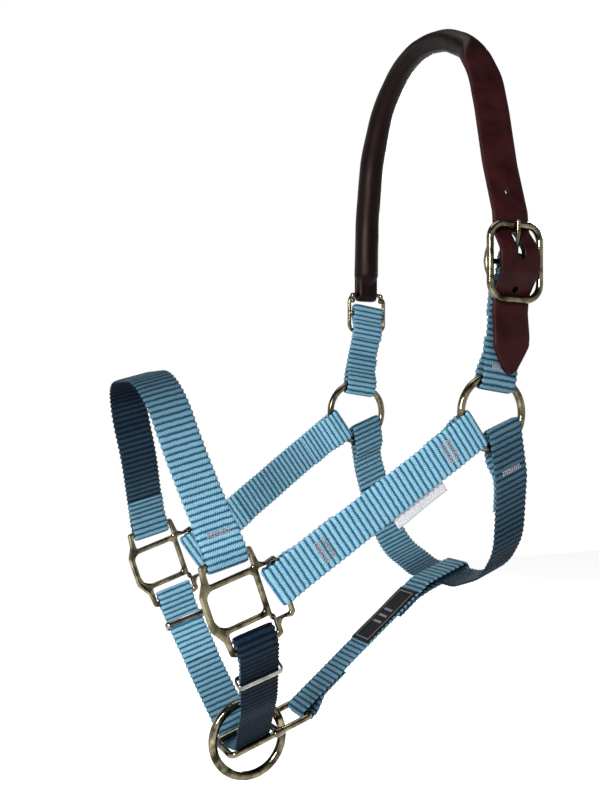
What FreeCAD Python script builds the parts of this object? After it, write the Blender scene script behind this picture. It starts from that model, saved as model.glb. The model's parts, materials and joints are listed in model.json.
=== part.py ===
import FreeCAD, Part
import math
import os

# A head halter for a horse. Millimetres. The origin is the poll: the middle of the underside of the
# crown, where it lies on the neck. +X is the near (left) side, +Y goes back from the nose, +Z is up.

V = FreeCAD.Vector
doc = FreeCAD.newDocument("head_halter")
sheet = doc.addObject("Spreadsheet::Sheet", "dims")

DIMENSIONS = {
    "webbing_width": 25.0,
    "webbing_thick": 2.0,
    "layer_gap": 0.15,
    "wire_gap": 0.4,
    "side_ring_radius": 22.0,
    "side_ring_wire": 2.5,
    "side_ring_x": 89.0,
    "side_ring_y": -12.0,
    "side_ring_z": -246.0,
    "lead_ring_radius": 23.5,
    "lead_ring_wire": 3.0,
    "lead_ring_y": -136.0,
    "lead_ring_z": -453.0,
    "square_x": 76.0,
    "square_y": -171.0,
    "square_z": -348.5,
    "square_thick": 3.0,
    "square_tilt": 19.0,
    "cheek_fall": 35.5,
    "nose_lean": 15.5,
    "chin_lean": 17.2,
    "post_lean": 8.1,
    "link_rise": 19.0,
    "link_x": -2.5,
    "link_rail_x": 15.0,
    "link_wire": 2.2,
    "leather_width": 25.0,
    "leather_thick": 3.6,
    "roll_radius": 8.5,
    "filler_radius": 4.0,
    "buckle_x": 98.5,
    "buckle_bar_x": 96.5,
    "buckle_bar_z": -155.0,
    "buckle_wide": 40.0,
    "buckle_tall": 49.0,
    "buckle_wire": 2.0,
    "buckle_bar_radius": 1.8,
    "crown_y": -1.5,
    "tongue_wide": 3.2,
    "tongue_thick": 2.0,
    "tongue_hub": 3.0,
    "tongue_slot_wide": 6.0,
    "hole_radius": 2.0,
    "loop_x": -93.0,
    "loop_bar_x": -92.0,
    "loop_y": -1.0,
    "loop_wide": 32.6,
    "loop_tall": 32.0,
    "loop_wire": 1.4,
    "loop_z": -169.0,
    "keeper_wire": 1.0,
    "keeper_length": 9.0,
    "keeper_gap": 0.7,
    "label_long": 50.0,
    "label_wide": 22.0,
    "label_thick": 0.6,
    "tag_long": 38.0,
    "tag_drop": 12.0,
    "tag_thick": 0.5,
    "bartack_long": 14.0,
    "bartack_wide": 2.6,
    "bartack_high": 0.5,
}
for row, (alias, value) in enumerate(DIMENSIONS.items(), start=1):
    sheet.set(f"A{row}", alias)
    sheet.set(f"B{row}", str(value))
    sheet.setAlias(f"B{row}", alias)
doc.recompute()


def dim(alias):
    return float(sheet.get(alias))


WEB = dim("webbing_thick")
STACK = WEB + dim("layer_gap")
RING_LAYER = dim("side_ring_wire") + dim("wire_gap") + WEB / 2
SQUARE_LAYER = dim("square_thick") / 2 + dim("wire_gap") + WEB / 2
RING = V(0, dim("side_ring_y"), dim("side_ring_z"))
SQUARE = V(0, dim("square_y"), dim("square_z"))
SIDES = {"near": 1, "far": -1}


# ---------------------------------------------------------------- outlines

def left_of(direction):
    return V(-direction.y, direction.x, 0)


def centre_line(points, radii):
    """Straights and arcs through the points, as spans of (point, left normal)."""
    points = [V(x, y, 0) for x, y in points]
    spans = []
    here = points[0]
    for before, corner, after, radius in zip(points, points[1:], points[2:], radii):
        into = (corner - before).normalize()
        out = (after - corner).normalize()
        half_turn = into.getAngle(out) / 2
        reach = radius * math.tan(half_turn)
        start = corner - into * reach
        end = corner + out * reach
        inward = (out - into).normalize()
        middle = corner + inward * (radius / math.cos(half_turn) - radius)
        spans.append([(here, left_of(into)), (start, left_of(into))])
        mean = (into + out).normalize()
        spans.append([(start, left_of(into)), (middle, left_of(mean)), (end, left_of(out))])
        here = end
    last = (points[-1] - here).normalize()
    spans.append([(here, left_of(last)), (points[-1], left_of(last))])
    return spans


def edges_of(chain):
    """Lines and arcs from lists of two or three points."""
    edges = []
    for points in chain:
        if len(points) == 2:
            edges.append(Part.LineSegment(*points))
        else:
            edges.append(Part.Arc(*points))
    return edges


def ribbon(points, radii, thick):
    """The closed outline of a strip of one thickness that follows a centre line."""
    spans = centre_line(points, radii)
    left = [[point + normal * (thick / 2) for point, normal in span] for span in spans]
    right = [[point - normal * (thick / 2) for point, normal in span] for span in spans]
    back = [list(reversed(span)) for span in reversed(right)]
    caps = [[left[-1][-1], back[0][0]], [back[-1][-1], left[0][0]]]
    return edges_of(left + back + caps)


def rounded_loop(points, radii):
    """A closed outline with a rounded corner at every point."""
    middle = tuple((a + b) / 2 for a, b in zip(points[-1], points[0]))
    spans = centre_line([middle] + list(points) + [middle], radii)
    return edges_of([[point for point, normal in span] for span in spans])


# ---------------------------------------------------------------- bodies

def plane(origin, across, along):
    """A placement whose local X is across and local Y is along."""
    normal = across.cross(along)
    matrix = FreeCAD.Matrix(
        across.x, along.x, normal.x, origin.x,
        across.y, along.y, normal.y, origin.y,
        across.z, along.z, normal.z, origin.z,
        0, 0, 0, 1,
    )
    return FreeCAD.Placement(matrix)


def strap_plane(origin, along):
    return plane(origin, V(1, 0, 0), along)


def side_direction(degrees):
    """A unit vector in the side view; 0 points back and 90 points up."""
    angle = math.radians(degrees)
    return V(0, math.cos(angle), math.sin(angle))


def new_body(label, placement):
    body = doc.addObject("PartDesign::Body", label)
    body.Label = label
    body.Placement = placement
    return body


def new_sketch(body, name, edges):
    sketch = body.newObject("Sketcher::SketchObject", name)
    base = next(item for item in body.Origin.OriginFeatures if item.Role == "XY_Plane")
    sketch.AttachmentSupport = [(base, "")]
    sketch.MapMode = "FlatFace"
    sketch.addGeometry(edges, False)
    return sketch


def pad(body, edges, length, slant=None):
    """A pad, even about the sketch, whose length is a cell of the sheet."""
    sketch = new_sketch(body, body.Label + "_outline", edges)
    feature = body.newObject("PartDesign::Pad", body.Label + "_pad")
    feature.Profile = sketch
    feature.setExpression("Length", length)
    feature.Midplane = True
    if slant is not None:
        feature.UseCustomVector = True
        feature.Direction = slant
    return feature


def strap(label, origin, along, points, radii, thick="webbing_thick", width="webbing_width", slant=None):
    body = new_body(label, strap_plane(origin, along))
    pad(body, ribbon(points, radii, dim(thick)), f"dims.{width}", slant)
    return body


def feature(label, kind, **settings):
    thing = doc.addObject(kind, label)
    thing.Label = label
    for name, value in settings.items():
        if isinstance(value, str):
            thing.setExpression(name, value)
        else:
            setattr(thing, name, value)
    return thing


def fuse(label, pieces):
    return feature(label, "Part::MultiFuse", Shapes=pieces)


def cut(label, base, tool):
    return feature(label, "Part::Cut", Base=base, Tool=tool)


def box(label, low, high):
    low, high = V(*low), V(*high)
    size = high - low
    piece = feature(label, "Part::Box", Length=size.x, Width=size.y, Height=size.z)
    piece.Placement = FreeCAD.Placement(low, FreeCAD.Rotation())
    return piece


def rod(label, start, end, radius):
    """A round bar between two points; its radius is a cell of the sheet."""
    start, end = V(*start), V(*end)
    piece = feature(label, "Part::Cylinder", Radius=f"dims.{radius}", Height=(end - start).Length)
    piece.Placement = FreeCAD.Placement(start, FreeCAD.Rotation(V(0, 0, 1), end - start))
    return piece


def swept_tube(label, points, radii, radius, placement):
    """A round bar that follows straights and arcs."""
    spans = centre_line(points, radii)
    path = feature(label + "_path", "Part::Feature")
    edges = edges_of([[point for point, normal in span] for span in spans])
    path.Shape = Part.Wire([edge.toShape() for edge in edges])
    path.Placement = placement
    start = placement.multVec(spans[0][0][0])
    heading = placement.multVec(spans[0][1][0]) - start
    section = feature(label + "_section", "Part::Circle", Radius=f"dims.{radius}")
    section.Placement = FreeCAD.Placement(start, FreeCAD.Rotation(V(0, 0, 1), heading))
    names = [f"Edge{index + 1}" for index in range(len(edges))]
    return feature(label, "Part::Sweep", Sections=[section], Spine=(path, names), Solid=True, Frenet=False)


def mirrored(points, side):
    return [(x * side, y) for x, y in points]


def beside(start, run, reach):
    """A point on the inner layer, opposite the place this far along a run of the outer one."""
    inward = V(-run.y, run.x, 0) if start.x > 0 else V(run.y, -run.x, 0)
    spot = start + run * reach + inward * STACK
    return (spot.x, spot.y)


def inner_corner(before, corner, after):
    """Where the inner layer turns, inside a corner of the outer one on the +X side."""
    before, corner, after = V(*before, 0), V(*corner, 0), V(*after, 0)
    into = (corner - before).normalize()
    out = (after - corner).normalize()
    half_turn = into.getAngle(out) / 2
    inward = left_of(into) + left_of(out)
    spot = corner + inward.normalize() * (STACK / math.cos(half_turn))
    return (spot.x, spot.y)


FOLD = 0.97     # how much of a fold's half height its two corner arcs take


def fold_radius(layer):
    return layer * FOLD


parts = {}


# ---------------------------------------------------------------- rings

def make_rings():
    for name, side in SIDES.items():
        ring = feature(f"{name}_side_ring", "Part::Torus",
                       Radius1="dims.side_ring_radius", Radius2="dims.side_ring_wire")
        centre = RING + V(side * dim("side_ring_x"), 0, 0)
        ring.Placement = FreeCAD.Placement(centre, FreeCAD.Rotation(V(0, 1, 0), 90))
        parts[ring.Label] = ring
    ring = feature("lead_ring", "Part::Torus",
                   Radius1="dims.lead_ring_radius", Radius2="dims.lead_ring_wire")
    centre = V(0, dim("lead_ring_y"), dim("lead_ring_z"))
    ring.Placement = FreeCAD.Placement(centre, FreeCAD.Rotation(V(0, 1, 0), 90))
    parts["lead_ring"] = ring


# ---------------------------------------------------------------- nose squares

WINDOW = [(-17, -12.7), (12.3, -12.7), (12.3, 10.3), (-17, 10.3)]
WINDOW_RADII = [8, 3, 3, 5]
TOP_SLOT = [(-13.3, 13.8), (13.3, 13.8), (13.3, 22), (-13.3, 22)]
REAR_SLOT = [(15.8, -19), (26.3, -19), (26.3, 11.5), (15.8, 11.5)]
LOW_SLOT = [(-11.6, -26.4), (15.6, -26.4), (15.6, -16), (-11.6, -16)]
SLOT_RADIUS = 1.5
SQUARE_EDGE = [(-16.2, 25), (16.2, 25), (17.5, 14.5), (29, 14.5), (29, -22), (18.6, -22),
               (18.6, -29), (-14.4, -29), (-15.4, -19.5), (-21, -11), (-21, 9), (-17.4, 16)]
SQUARE_RADII = [2.5, 2.5, 2, 2.5, 2.5, 2, 2.5, 2, 3, 6, 8, 4]


def make_squares():
    across = side_direction(dim("square_tilt"))
    up = side_direction(dim("square_tilt") + 90)
    for name, side in SIDES.items():
        centre = SQUARE + V(side * dim("square_x"), 0, 0)
        body = new_body(f"{name}_nose_square", plane(centre, across, up))
        edges = rounded_loop(SQUARE_EDGE, SQUARE_RADII)
        edges += rounded_loop(WINDOW, WINDOW_RADII)
        for slot in (TOP_SLOT, REAR_SLOT, LOW_SLOT):
            edges += rounded_loop(slot, [SLOT_RADIUS] * 4)
        pad(body, edges, "dims.square_thick")
        parts[body.Label] = body


# ---------------------------------------------------------------- webbing straps

RING_FOLD = 14.0          # from the ring's centre to the middle of the webbing in a fold
RING_CLEAR = 26.0         # past the ring, where the two layers may close up
CHEEK_SQUARE_FOLD = 169.6
CHEEK_BAR_CLEAR = 153.0
CHEEK_TAIL = 50.0
CHEEK_LOW_TAIL = 118.0


def make_cheek_straps():
    ring_x = dim("side_ring_x")
    square_x = dim("square_x")
    outer = ring_x + RING_LAYER
    slope = (square_x + SQUARE_LAYER - outer) / (CHEEK_BAR_CLEAR - RING_CLEAR)

    def under(s):
        return outer + slope * (s - RING_CLEAR) - STACK

    points = [
        (under(CHEEK_TAIL), CHEEK_TAIL),
        (under(RING_CLEAR + 9), RING_CLEAR + 9),
        (ring_x - RING_LAYER, RING_CLEAR - 1),
        (ring_x - RING_LAYER, RING_FOLD),
        (outer, RING_FOLD),
        (outer, RING_CLEAR),
        (square_x + SQUARE_LAYER, CHEEK_BAR_CLEAR),
        (square_x + SQUARE_LAYER, CHEEK_SQUARE_FOLD),
        (square_x - SQUARE_LAYER, CHEEK_SQUARE_FOLD),
        (square_x - SQUARE_LAYER, CHEEK_BAR_CLEAR),
        (under(CHEEK_BAR_CLEAR - 7), CHEEK_BAR_CLEAR - 7),
        (under(CHEEK_LOW_TAIL), CHEEK_LOW_TAIL),
    ]
    ring_fold = fold_radius(RING_LAYER)
    square_fold = fold_radius(SQUARE_LAYER)
    radii = [5, 5, ring_fold, ring_fold, 20, 20, square_fold, square_fold, 5, 5]
    along = side_direction(180 + dim("cheek_fall"))
    for name, side in SIDES.items():
        body = strap(f"{name}_cheek_strap", RING, along, mirrored(points, side), radii)
        parts[body.Label] = body


NOSE_ORIGIN = V(0, -177.3, -330.1)
NOSE_FOLD = -0.2
NOSE_BAR_CLEAR = 9.0
NOSE_TAIL = 20.0
NOSE_BEND = (56.3, 54.0)
NOSE_TOP = (40.0, 110.0)


def make_noseband():
    square_x = dim("square_x")
    outer = square_x + SQUARE_LAYER
    inner = square_x - SQUARE_LAYER
    start = V(outer, NOSE_BAR_CLEAR, 0)
    bend = V(*NOSE_BEND, 0)
    run = (bend - start).normalize()
    near_leg = [
        beside(start, run, NOSE_TAIL),
        beside(start, run, 8),
        (inner, NOSE_BAR_CLEAR - 1),
        (inner, NOSE_FOLD),
        (outer, NOSE_FOLD),
        (outer, NOSE_BAR_CLEAR),
        NOSE_BEND,
        NOSE_TOP,
    ]
    fold = fold_radius(SQUARE_LAYER)
    leg_radii = [8, 5, fold, fold, 12, 120, 34]
    points = near_leg + mirrored(reversed(near_leg), -1)
    radii = leg_radii + list(reversed(leg_radii))
    body = strap("noseband", NOSE_ORIGIN, side_direction(90 + dim("nose_lean")), points, radii)
    parts[body.Label] = body


CHIN_ORIGIN = V(0, -162.8, -366.3)
CHIN_FOLD = 1.0
CHIN_CLEAR = 12.0
RAIL_DEPTH = 90.7
CHIN_TAIL_START = 7.0
NEAR_CHIN_BEND = (48.0, 53.0)
FAR_CHIN_BEND = (-48.0, 60.0)
NEAR_CHIN_TAIL = 46.0
FAR_CHIN_TAIL = 44.0


def chin_run(side):
    """Where a chin leg leaves its square, and the direction it takes."""
    bend = NEAR_CHIN_BEND if side > 0 else FAR_CHIN_BEND
    start = V(side * (dim("square_x") + SQUARE_LAYER), CHIN_CLEAR, 0)
    return start, (V(*bend, 0) - start).normalize()


def make_chin_strap():
    square_x = dim("square_x")
    outer = square_x + SQUARE_LAYER
    inner = square_x - SQUARE_LAYER
    near_rail = dim("link_x") + dim("link_rail_x")
    far_rail = dim("link_x") - dim("link_rail_x")
    wrap = dim("link_wire") + dim("wire_gap") + 0.6 + WEB / 2
    near_start, near_run = chin_run(1)
    far_start, far_run = chin_run(-1)
    points = [
        beside(near_start, near_run, NEAR_CHIN_TAIL),
        beside(near_start, near_run, CHIN_TAIL_START),
        (inner, CHIN_CLEAR - 2),
        (inner, CHIN_FOLD),
        (outer, CHIN_FOLD),
        (outer, CHIN_CLEAR),
        NEAR_CHIN_BEND,
        (near_rail - wrap - 1.1, RAIL_DEPTH + 0.2),
        (far_rail + 6, RAIL_DEPTH + wrap),
        (far_rail - wrap + 0.8, RAIL_DEPTH + wrap),
        (far_rail - wrap - 1.0, RAIL_DEPTH - 0.7),
        FAR_CHIN_BEND,
        (-outer, CHIN_CLEAR),
        (-outer, CHIN_FOLD),
        (-inner, CHIN_FOLD),
        (-inner, CHIN_CLEAR - 2),
        beside(far_start, far_run, CHIN_TAIL_START),
        beside(far_start, far_run, FAR_CHIN_TAIL),
    ]
    fold = fold_radius(SQUARE_LAYER)
    radii = [4, 4, fold, fold, 14, 60, 4, 5, 3.2, 5, 40, 14, fold, fold, 4, 4]
    body = strap("chin_strap", CHIN_ORIGIN, side_direction(dim("chin_lean") - 90), points, radii)
    parts[body.Label] = body


THROAT_ORIGIN = V(0, -6.3, -246.0)
THROAT_LEAN = -81.5
THROAT_WIDTH_RISE = 22.0
THROAT_FOLD = 7.3
THROAT_TAIL = 16.0
THROAT_BOTTOM = 113.0


def make_throat_strap():
    ring_x = dim("side_ring_x")
    outer = ring_x + RING_LAYER
    inner = ring_x - RING_LAYER
    bend = (outer, 42.0)
    lower_bend = (81.0, 82.0)
    run = (V(*lower_bend, 0) - V(*bend, 0)).normalize()
    near_leg = [
        beside(V(*bend, 0), run, THROAT_TAIL),
        inner_corner((outer, THROAT_FOLD), bend, lower_bend),
        (outer - STACK, RING_CLEAR + 9),
        (inner, RING_CLEAR + 1),
        (inner, THROAT_FOLD),
        (outer, THROAT_FOLD),
        bend,
        lower_bend,
        (62, THROAT_BOTTOM - 11),
        (28, THROAT_BOTTOM),
    ]
    fold = fold_radius(RING_LAYER)
    leg_radii = [20, 5, 5, fold, fold, 22, 40, 45, 30]
    points = near_leg + mirrored(reversed(near_leg), -1)
    radii = leg_radii + list(reversed(leg_radii))
    placement = strap_plane(THROAT_ORIGIN, side_direction(THROAT_LEAN))
    slant = placement.Rotation.inverted().multVec(side_direction(THROAT_WIDTH_RISE))
    body = strap("throat_strap", THROAT_ORIGIN, side_direction(THROAT_LEAN), points, radii, slant=slant)
    parts[body.Label] = body


# ---------------------------------------------------------------- chin link and connecting strap

LINK_FRONT = -16.2        # along the link from the point under the lead ring's centre
LINK_CROSS = 17.0
LINK_REAR = 40.5
LINK_CORNER = 3.2


def link_point(along):
    return V(dim("link_x"), dim("lead_ring_y"), dim("lead_ring_z")) + side_direction(dim("link_rise")) * along


def make_chin_link():
    rail_x = dim("link_rail_x")
    placement = strap_plane(link_point(0), side_direction(dim("link_rise")))
    corners = [(-rail_x, 10), (-rail_x, LINK_REAR), (rail_x, LINK_REAR),
               (rail_x, LINK_FRONT), (-rail_x, LINK_FRONT), (-rail_x, 10)]
    frame = swept_tube("link_frame", corners, [LINK_CORNER] * 4, "link_wire", placement)
    cross_y = link_point(LINK_CROSS)
    cross = rod("link_cross_bar", cross_y + V(-rail_x, 0, 0), cross_y + V(rail_x, 0, 0), "link_wire")
    parts["chin_link"] = fuse("chin_link", [frame, cross])


def connecting_run():
    """Both ends of the outer layer's straight run, from the link's rear bar to the throat strap."""
    layer = dim("link_wire") + dim("wire_gap") + WEB / 2
    rail = link_point(LINK_REAR)
    throat = THROAT_ORIGIN + side_direction(THROAT_LEAN) * THROAT_BOTTOM
    wide = side_direction(THROAT_WIDTH_RISE)
    over = side_direction(THROAT_WIDTH_RISE + 90)
    front = throat - wide * (dim("webbing_width") / 2 + 6)
    run = (front - rail).normalize()
    lift = V(0, -run.z, run.y)
    start = rail + run * 12 + lift * layer + V(dim("link_x") - rail.x, 0, 0)
    return start, V(start.x, front.y, front.z) + over * (STACK + dim("layer_gap"))


def make_connecting_strap():
    layer = dim("link_wire") + dim("wire_gap") + WEB / 2
    rail = link_point(LINK_REAR)
    throat = THROAT_ORIGIN + side_direction(THROAT_LEAN) * THROAT_BOTTOM
    wide = side_direction(THROAT_WIDTH_RISE)
    over = side_direction(THROAT_WIDTH_RISE + 90)
    half = dim("webbing_width") / 2
    throat_layer = STACK + dim("layer_gap")
    front = throat - wide * (half + 6)
    back = throat + wide * (half + 2.6)
    run = (front - rail).normalize()
    lift = V(0, -run.z, run.y)
    start, end = connecting_run()
    main = (end - start).normalize()
    under = V(0, main.z, -main.y) * STACK
    points = [
        start + main * 24 + under,
        start + main * 4 + under,
        rail + run * 5 - lift * layer,
        rail - run * layer - lift * layer,
        rail - run * layer + lift * layer,
        start,
        end,
        back + over * throat_layer,
        back - over * throat_layer,
        front - over * throat_layer,
        end - main * 12 + under,
        end - main * 30 + under,
    ]
    flat = [(point.y, point.z) for point in points]
    fold = fold_radius(layer)
    throat_fold = fold_radius(throat_layer)
    radii = [4, 4, fold, fold, 30, 8, throat_fold, throat_fold, 4, 4]
    body = new_body("connecting_strap", plane(V(dim("link_x"), 0, 0), V(0, 1, 0), V(0, 0, 1)))
    pad(body, ribbon(flat, radii, WEB), "dims.webbing_width")
    parts[body.Label] = body


# ---------------------------------------------------------------- crown posts

POST_TAIL = 13.0
FAR_POST_X = 88.4
POST_BOTTOM_BAR = 68.5
POST_TOP_FOLD_SLACK = 1.9


def make_near_post():
    ring_x = dim("side_ring_x")
    outer = ring_x + RING_LAYER
    bar_x = dim("buckle_bar_x")
    lean = math.radians(dim("post_lean"))
    bar = (dim("buckle_bar_z") - dim("side_ring_z")) / math.cos(lean)
    layer = dim("buckle_bar_radius") + dim("wire_gap") + WEB / 2
    low_x = 91.0
    low_bend = (outer, RING_CLEAR + 6)
    mid_bend = (low_x, 56)
    high_bend = (low_x, POST_BOTTOM_BAR + 6)
    top_bend = (bar_x + layer, bar - 2)
    run = (V(*mid_bend, 0) - V(*low_bend, 0)).normalize()
    points = [
        beside(V(*low_bend, 0), run, POST_TAIL),
        beside(V(*low_bend, 0), run, 4),
        (ring_x - RING_LAYER, RING_CLEAR - 1),
        (ring_x - RING_LAYER, RING_FOLD),
        (outer, RING_FOLD),
        low_bend,
        mid_bend,
        high_bend,
        top_bend,
        (bar_x + layer, bar + layer + POST_TOP_FOLD_SLACK),
        (bar_x - layer, bar + layer + POST_TOP_FOLD_SLACK),
        (bar_x - layer, bar - 9),
        inner_corner(mid_bend, high_bend, top_bend),
        (low_x - STACK, 58),
    ]
    ring_fold = fold_radius(RING_LAYER)
    bar_fold = fold_radius(layer)
    radii = [3, 3, ring_fold, ring_fold, 20, 20, 8, 2, bar_fold, bar_fold, 6, 10]
    post = strap("near_post_webbing", RING, side_direction(90 - dim("post_lean")), points, radii)
    half_slot = dim("tongue_slot_wide") / 2
    slot = box("near_post_slot",
               (bar_x - layer - WEB, dim("crown_y") - half_slot, dim("buckle_bar_z") - 8.5),
               (bar_x + layer + WEB, dim("crown_y") + half_slot, dim("buckle_bar_z") + 12))
    parts["near_crown_post"] = cut("near_crown_post", post, slot)


def make_far_post():
    ring_x = dim("side_ring_x")
    outer = ring_x + RING_LAYER
    bar_x = -dim("loop_bar_x")
    lean = math.radians(dim("post_lean"))
    bar = (dim("loop_z") - dim("side_ring_z")) / math.cos(lean)
    layer = dim("loop_wire") + dim("wire_gap") + WEB / 2
    low_x = FAR_POST_X
    low_bend = (outer, RING_CLEAR + 4)
    mid_bend = (low_x, 55)
    high_bend = (low_x, 65.5)
    top_bend = (bar_x + layer, bar - 3)
    run = (V(*mid_bend, 0) - V(*low_bend, 0)).normalize()
    points = [
        beside(V(*low_bend, 0), run, POST_TAIL),
        beside(V(*low_bend, 0), run, 4),
        (ring_x - RING_LAYER, RING_CLEAR - 1),
        (ring_x - RING_LAYER, RING_FOLD),
        (outer, RING_FOLD),
        low_bend,
        mid_bend,
        high_bend,
        top_bend,
        (bar_x + layer, bar + layer + POST_TOP_FOLD_SLACK),
        (bar_x - layer, bar + layer + POST_TOP_FOLD_SLACK),
        (bar_x - layer, bar - 6.4),
        inner_corner(mid_bend, high_bend, top_bend),
        (low_x - STACK, 57),
    ]
    ring_fold = fold_radius(RING_LAYER)
    bar_fold = fold_radius(layer)
    radii = [3, 3, ring_fold, ring_fold, 20, 12, 2, 2, bar_fold, bar_fold, 3, 4]
    along = side_direction(90 - dim("post_lean"))
    body = strap("far_crown_post", RING, along, mirrored(points, -1), radii)
    parts[body.Label] = body


# ---------------------------------------------------------------- crown

ROLL_PATH = [(60, -20), (46, -6.5), (24, 5.0), (2, 9.8), (-16, 10.0), (-38, 4.6), (-66, -17),
             (-83, -54), (-90.5, -98), (-92.8, -143)]
ROLL_RADII = [30, 60, 60, 60, 60, 60, 80, 120]
FLAT_PATH = [(48, -8.5), (56, -15.5), (68, -33), (75, -57), (83, -92), (93.4, -124), (94.4, -136),
             (103.4, -148), (103.4, -161), (94.4, -175), (94.4, -186), (97.4, -200), (97.4, -223)]
FLAT_RADII = [30, 50, 60, 60, 14, 8, 7, 7, 7, 10, 12]
FILLER_START = 3          # the filler cord stops short of the flat strap
CROWN_HOLES = [-111.0, -172.0]
TIP_TAPER = 16.0
TAB_WIDTH = 15.0


def crown_plane():
    return plane(V(0, dim("crown_y"), 0), V(1, 0, 0), V(0, 0, 1))


def make_crown():
    placement = crown_plane()
    roll = swept_tube("crown_roll", ROLL_PATH, ROLL_RADII, "roll_radius", placement)
    flat = new_body("crown_flat", placement)
    pad(flat, ribbon(FLAT_PATH, FLAT_RADII, dim("leather_thick")), "dims.leather_width")
    layer = dim("loop_wire") + 0.35 + dim("leather_thick") / 2
    bar_x = dim("loop_x")
    bar_z = dim("loop_z") + dim("loop_tall") / 2 - dim("loop_wire")
    tab_points = [(bar_x - layer, -138), (bar_x - layer, bar_z - layer - 0.6),
                  (bar_x + layer, bar_z - layer - 0.6), (bar_x + layer, -138)]
    tab = new_body("crown_tab", placement)
    fold = fold_radius(layer)
    pad(tab, ribbon(tab_points, [fold, fold], dim("leather_thick")), str(TAB_WIDTH))
    leather = fuse("crown_leather", [roll, flat, tab])
    core_path, core_radii = ROLL_PATH[FILLER_START:], ROLL_RADII[FILLER_START:]
    core = swept_tube("roll_core_space", core_path, core_radii, "filler_radius", placement)
    filler = swept_tube("roll_filler", core_path, core_radii, "filler_radius", placement)
    holes = []
    y = dim("crown_y")
    for number, z in enumerate(CROWN_HOLES):
        holes.append(rod(f"crown_hole_{number}", (70, y, z), (110, y, z), "hole_radius"))
    half = dim("tongue_slot_wide") / 2
    bar = dim("buckle_bar_z")
    holes.append(box("crown_tongue_hole", (92, y - half, bar + 2.0), (110, y + half, bar + 19.5)))
    for name, sign in (("front", -1), ("back", 1)):
        corner = Part.Face(Part.makePolygon([
            V(90, y + sign * (dim("leather_width") / 2 + 0.5), -223 + TIP_TAPER),
            V(90, y + sign * 3.0, -223.5),
            V(90, y + sign * (dim("leather_width") / 2 + 0.5), -223.5),
            V(90, y + sign * (dim("leather_width") / 2 + 0.5), -223 + TIP_TAPER),
        ]))
        wedge = feature(f"tip_corner_{name}", "Part::Feature")
        wedge.Shape = corner.extrude(V(16, 0, 0))
        holes.append(wedge)
    cutter = fuse("crown_cutters", holes + [core])
    parts["crown_strap"] = cut("crown_strap", leather, cutter)
    parts["roll_filler"] = filler


# ---------------------------------------------------------------- buckle and loop

def frame_tube(label, centre, wide, tall, corner, radius):
    """A rounded rectangle of round bar in the side view."""
    placement = plane(centre, V(0, 1, 0), V(0, 0, 1))
    half_wide = wide / 2 - dim(radius)
    half_tall = tall / 2 - dim(radius)
    points = [(half_wide, 0), (half_wide, half_tall), (-half_wide, half_tall),
              (-half_wide, -half_tall), (half_wide, -half_tall), (half_wide, 0)]
    return swept_tube(label, points, [corner] * 4, radius, placement)


def make_buckle():
    centre = V(dim("buckle_x"), dim("crown_y"), dim("buckle_bar_z"))
    frame = frame_tube("buckle_outline", centre, dim("buckle_wide"), dim("buckle_tall"), 9, "buckle_wire")
    half = dim("buckle_wide") / 2 - dim("buckle_wire")
    y = dim("crown_y")
    bar_x = dim("buckle_bar_x")
    z = dim("buckle_bar_z")
    bar = rod("buckle_centre_bar", (bar_x, y - half, z), (bar_x, y + half, z), "buckle_bar_radius")
    parts["near_buckle_frame"] = fuse("near_buckle_frame", [frame, bar])

    half_tongue = dim("tongue_wide") / 2
    hub = rod("tongue_hub_round", (bar_x, y - half_tongue, z), (bar_x, y + half_tongue, z), "tongue_hub")
    arm = new_body("tongue_arm", crown_plane())
    arm_points = [(bar_x + 2.2, z + 0.5), (99.4, z + 6), (101.9, z + 17), (101.9, z + 25.5)]
    pad(arm, ribbon(arm_points, [8, 6], dim("tongue_thick")), "dims.tongue_wide")
    solid = fuse("tongue_solid", [hub, arm])
    bore = rod("tongue_bore", (bar_x, y - 5, z), (bar_x, y + 5, z), "buckle_bar_radius")
    bore.setExpression("Radius", "dims.buckle_bar_radius + 0.1")
    parts["near_buckle_tongue"] = cut("near_buckle_tongue", solid, bore)


def make_far_loop():
    centre = V(dim("loop_x"), dim("loop_y"), dim("loop_z"))
    frame = frame_tube("loop_outline", centre, dim("loop_wide"), dim("loop_tall"), 6, "loop_wire")
    half = dim("loop_wide") / 2 - dim("loop_wire")
    x, y, z = dim("loop_bar_x"), dim("loop_y"), dim("loop_z")
    bar = rod("loop_centre_bar", (x, y - half, z), (x, y + half, z), "loop_wire")
    parts["far_crown_loop"] = fuse("far_crown_loop", [frame, bar])


# ---------------------------------------------------------------- keepers, label, tag, bartacks

LABEL_REACH = 72.0
TAG_AT = 71.0             # along the cheek strap from the ring
KEEPER_DEPTH = {"near": 31.0, "far": 25.0}


def make_keepers():
    chin = strap_plane(CHIN_ORIGIN, side_direction(dim("chin_lean") - 90))
    wire = dim("keeper_wire")
    gap = dim("keeper_gap")
    inside_wide = dim("webbing_width") + 2 * gap
    inside_high = STACK + WEB + 2 * gap
    for name, side in SIDES.items():
        start, run = chin_run(side)
        spot = start + run * ((KEEPER_DEPTH[name] - CHIN_CLEAR) / run.y)
        inward = V(-side * run.y, side * run.x, 0)
        middle = spot + inward * (STACK / 2)
        local = plane(middle, V(0, 0, 1), inward)
        place = chin.multiply(local)
        body = new_body(f"{name}_chin_keeper", place)
        edges = []
        for grow, corner in ((wire * 2, 2.2), (0, 0.8)):
            half_w = inside_wide / 2 + grow
            half_h = inside_high / 2 + grow
            edges += rounded_loop([(-half_w, -half_h), (half_w, -half_h), (half_w, half_h), (-half_w, half_h)],
                                  [corner] * 4)
        pad(body, edges, "dims.keeper_length")
        parts[body.Label] = body


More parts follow.
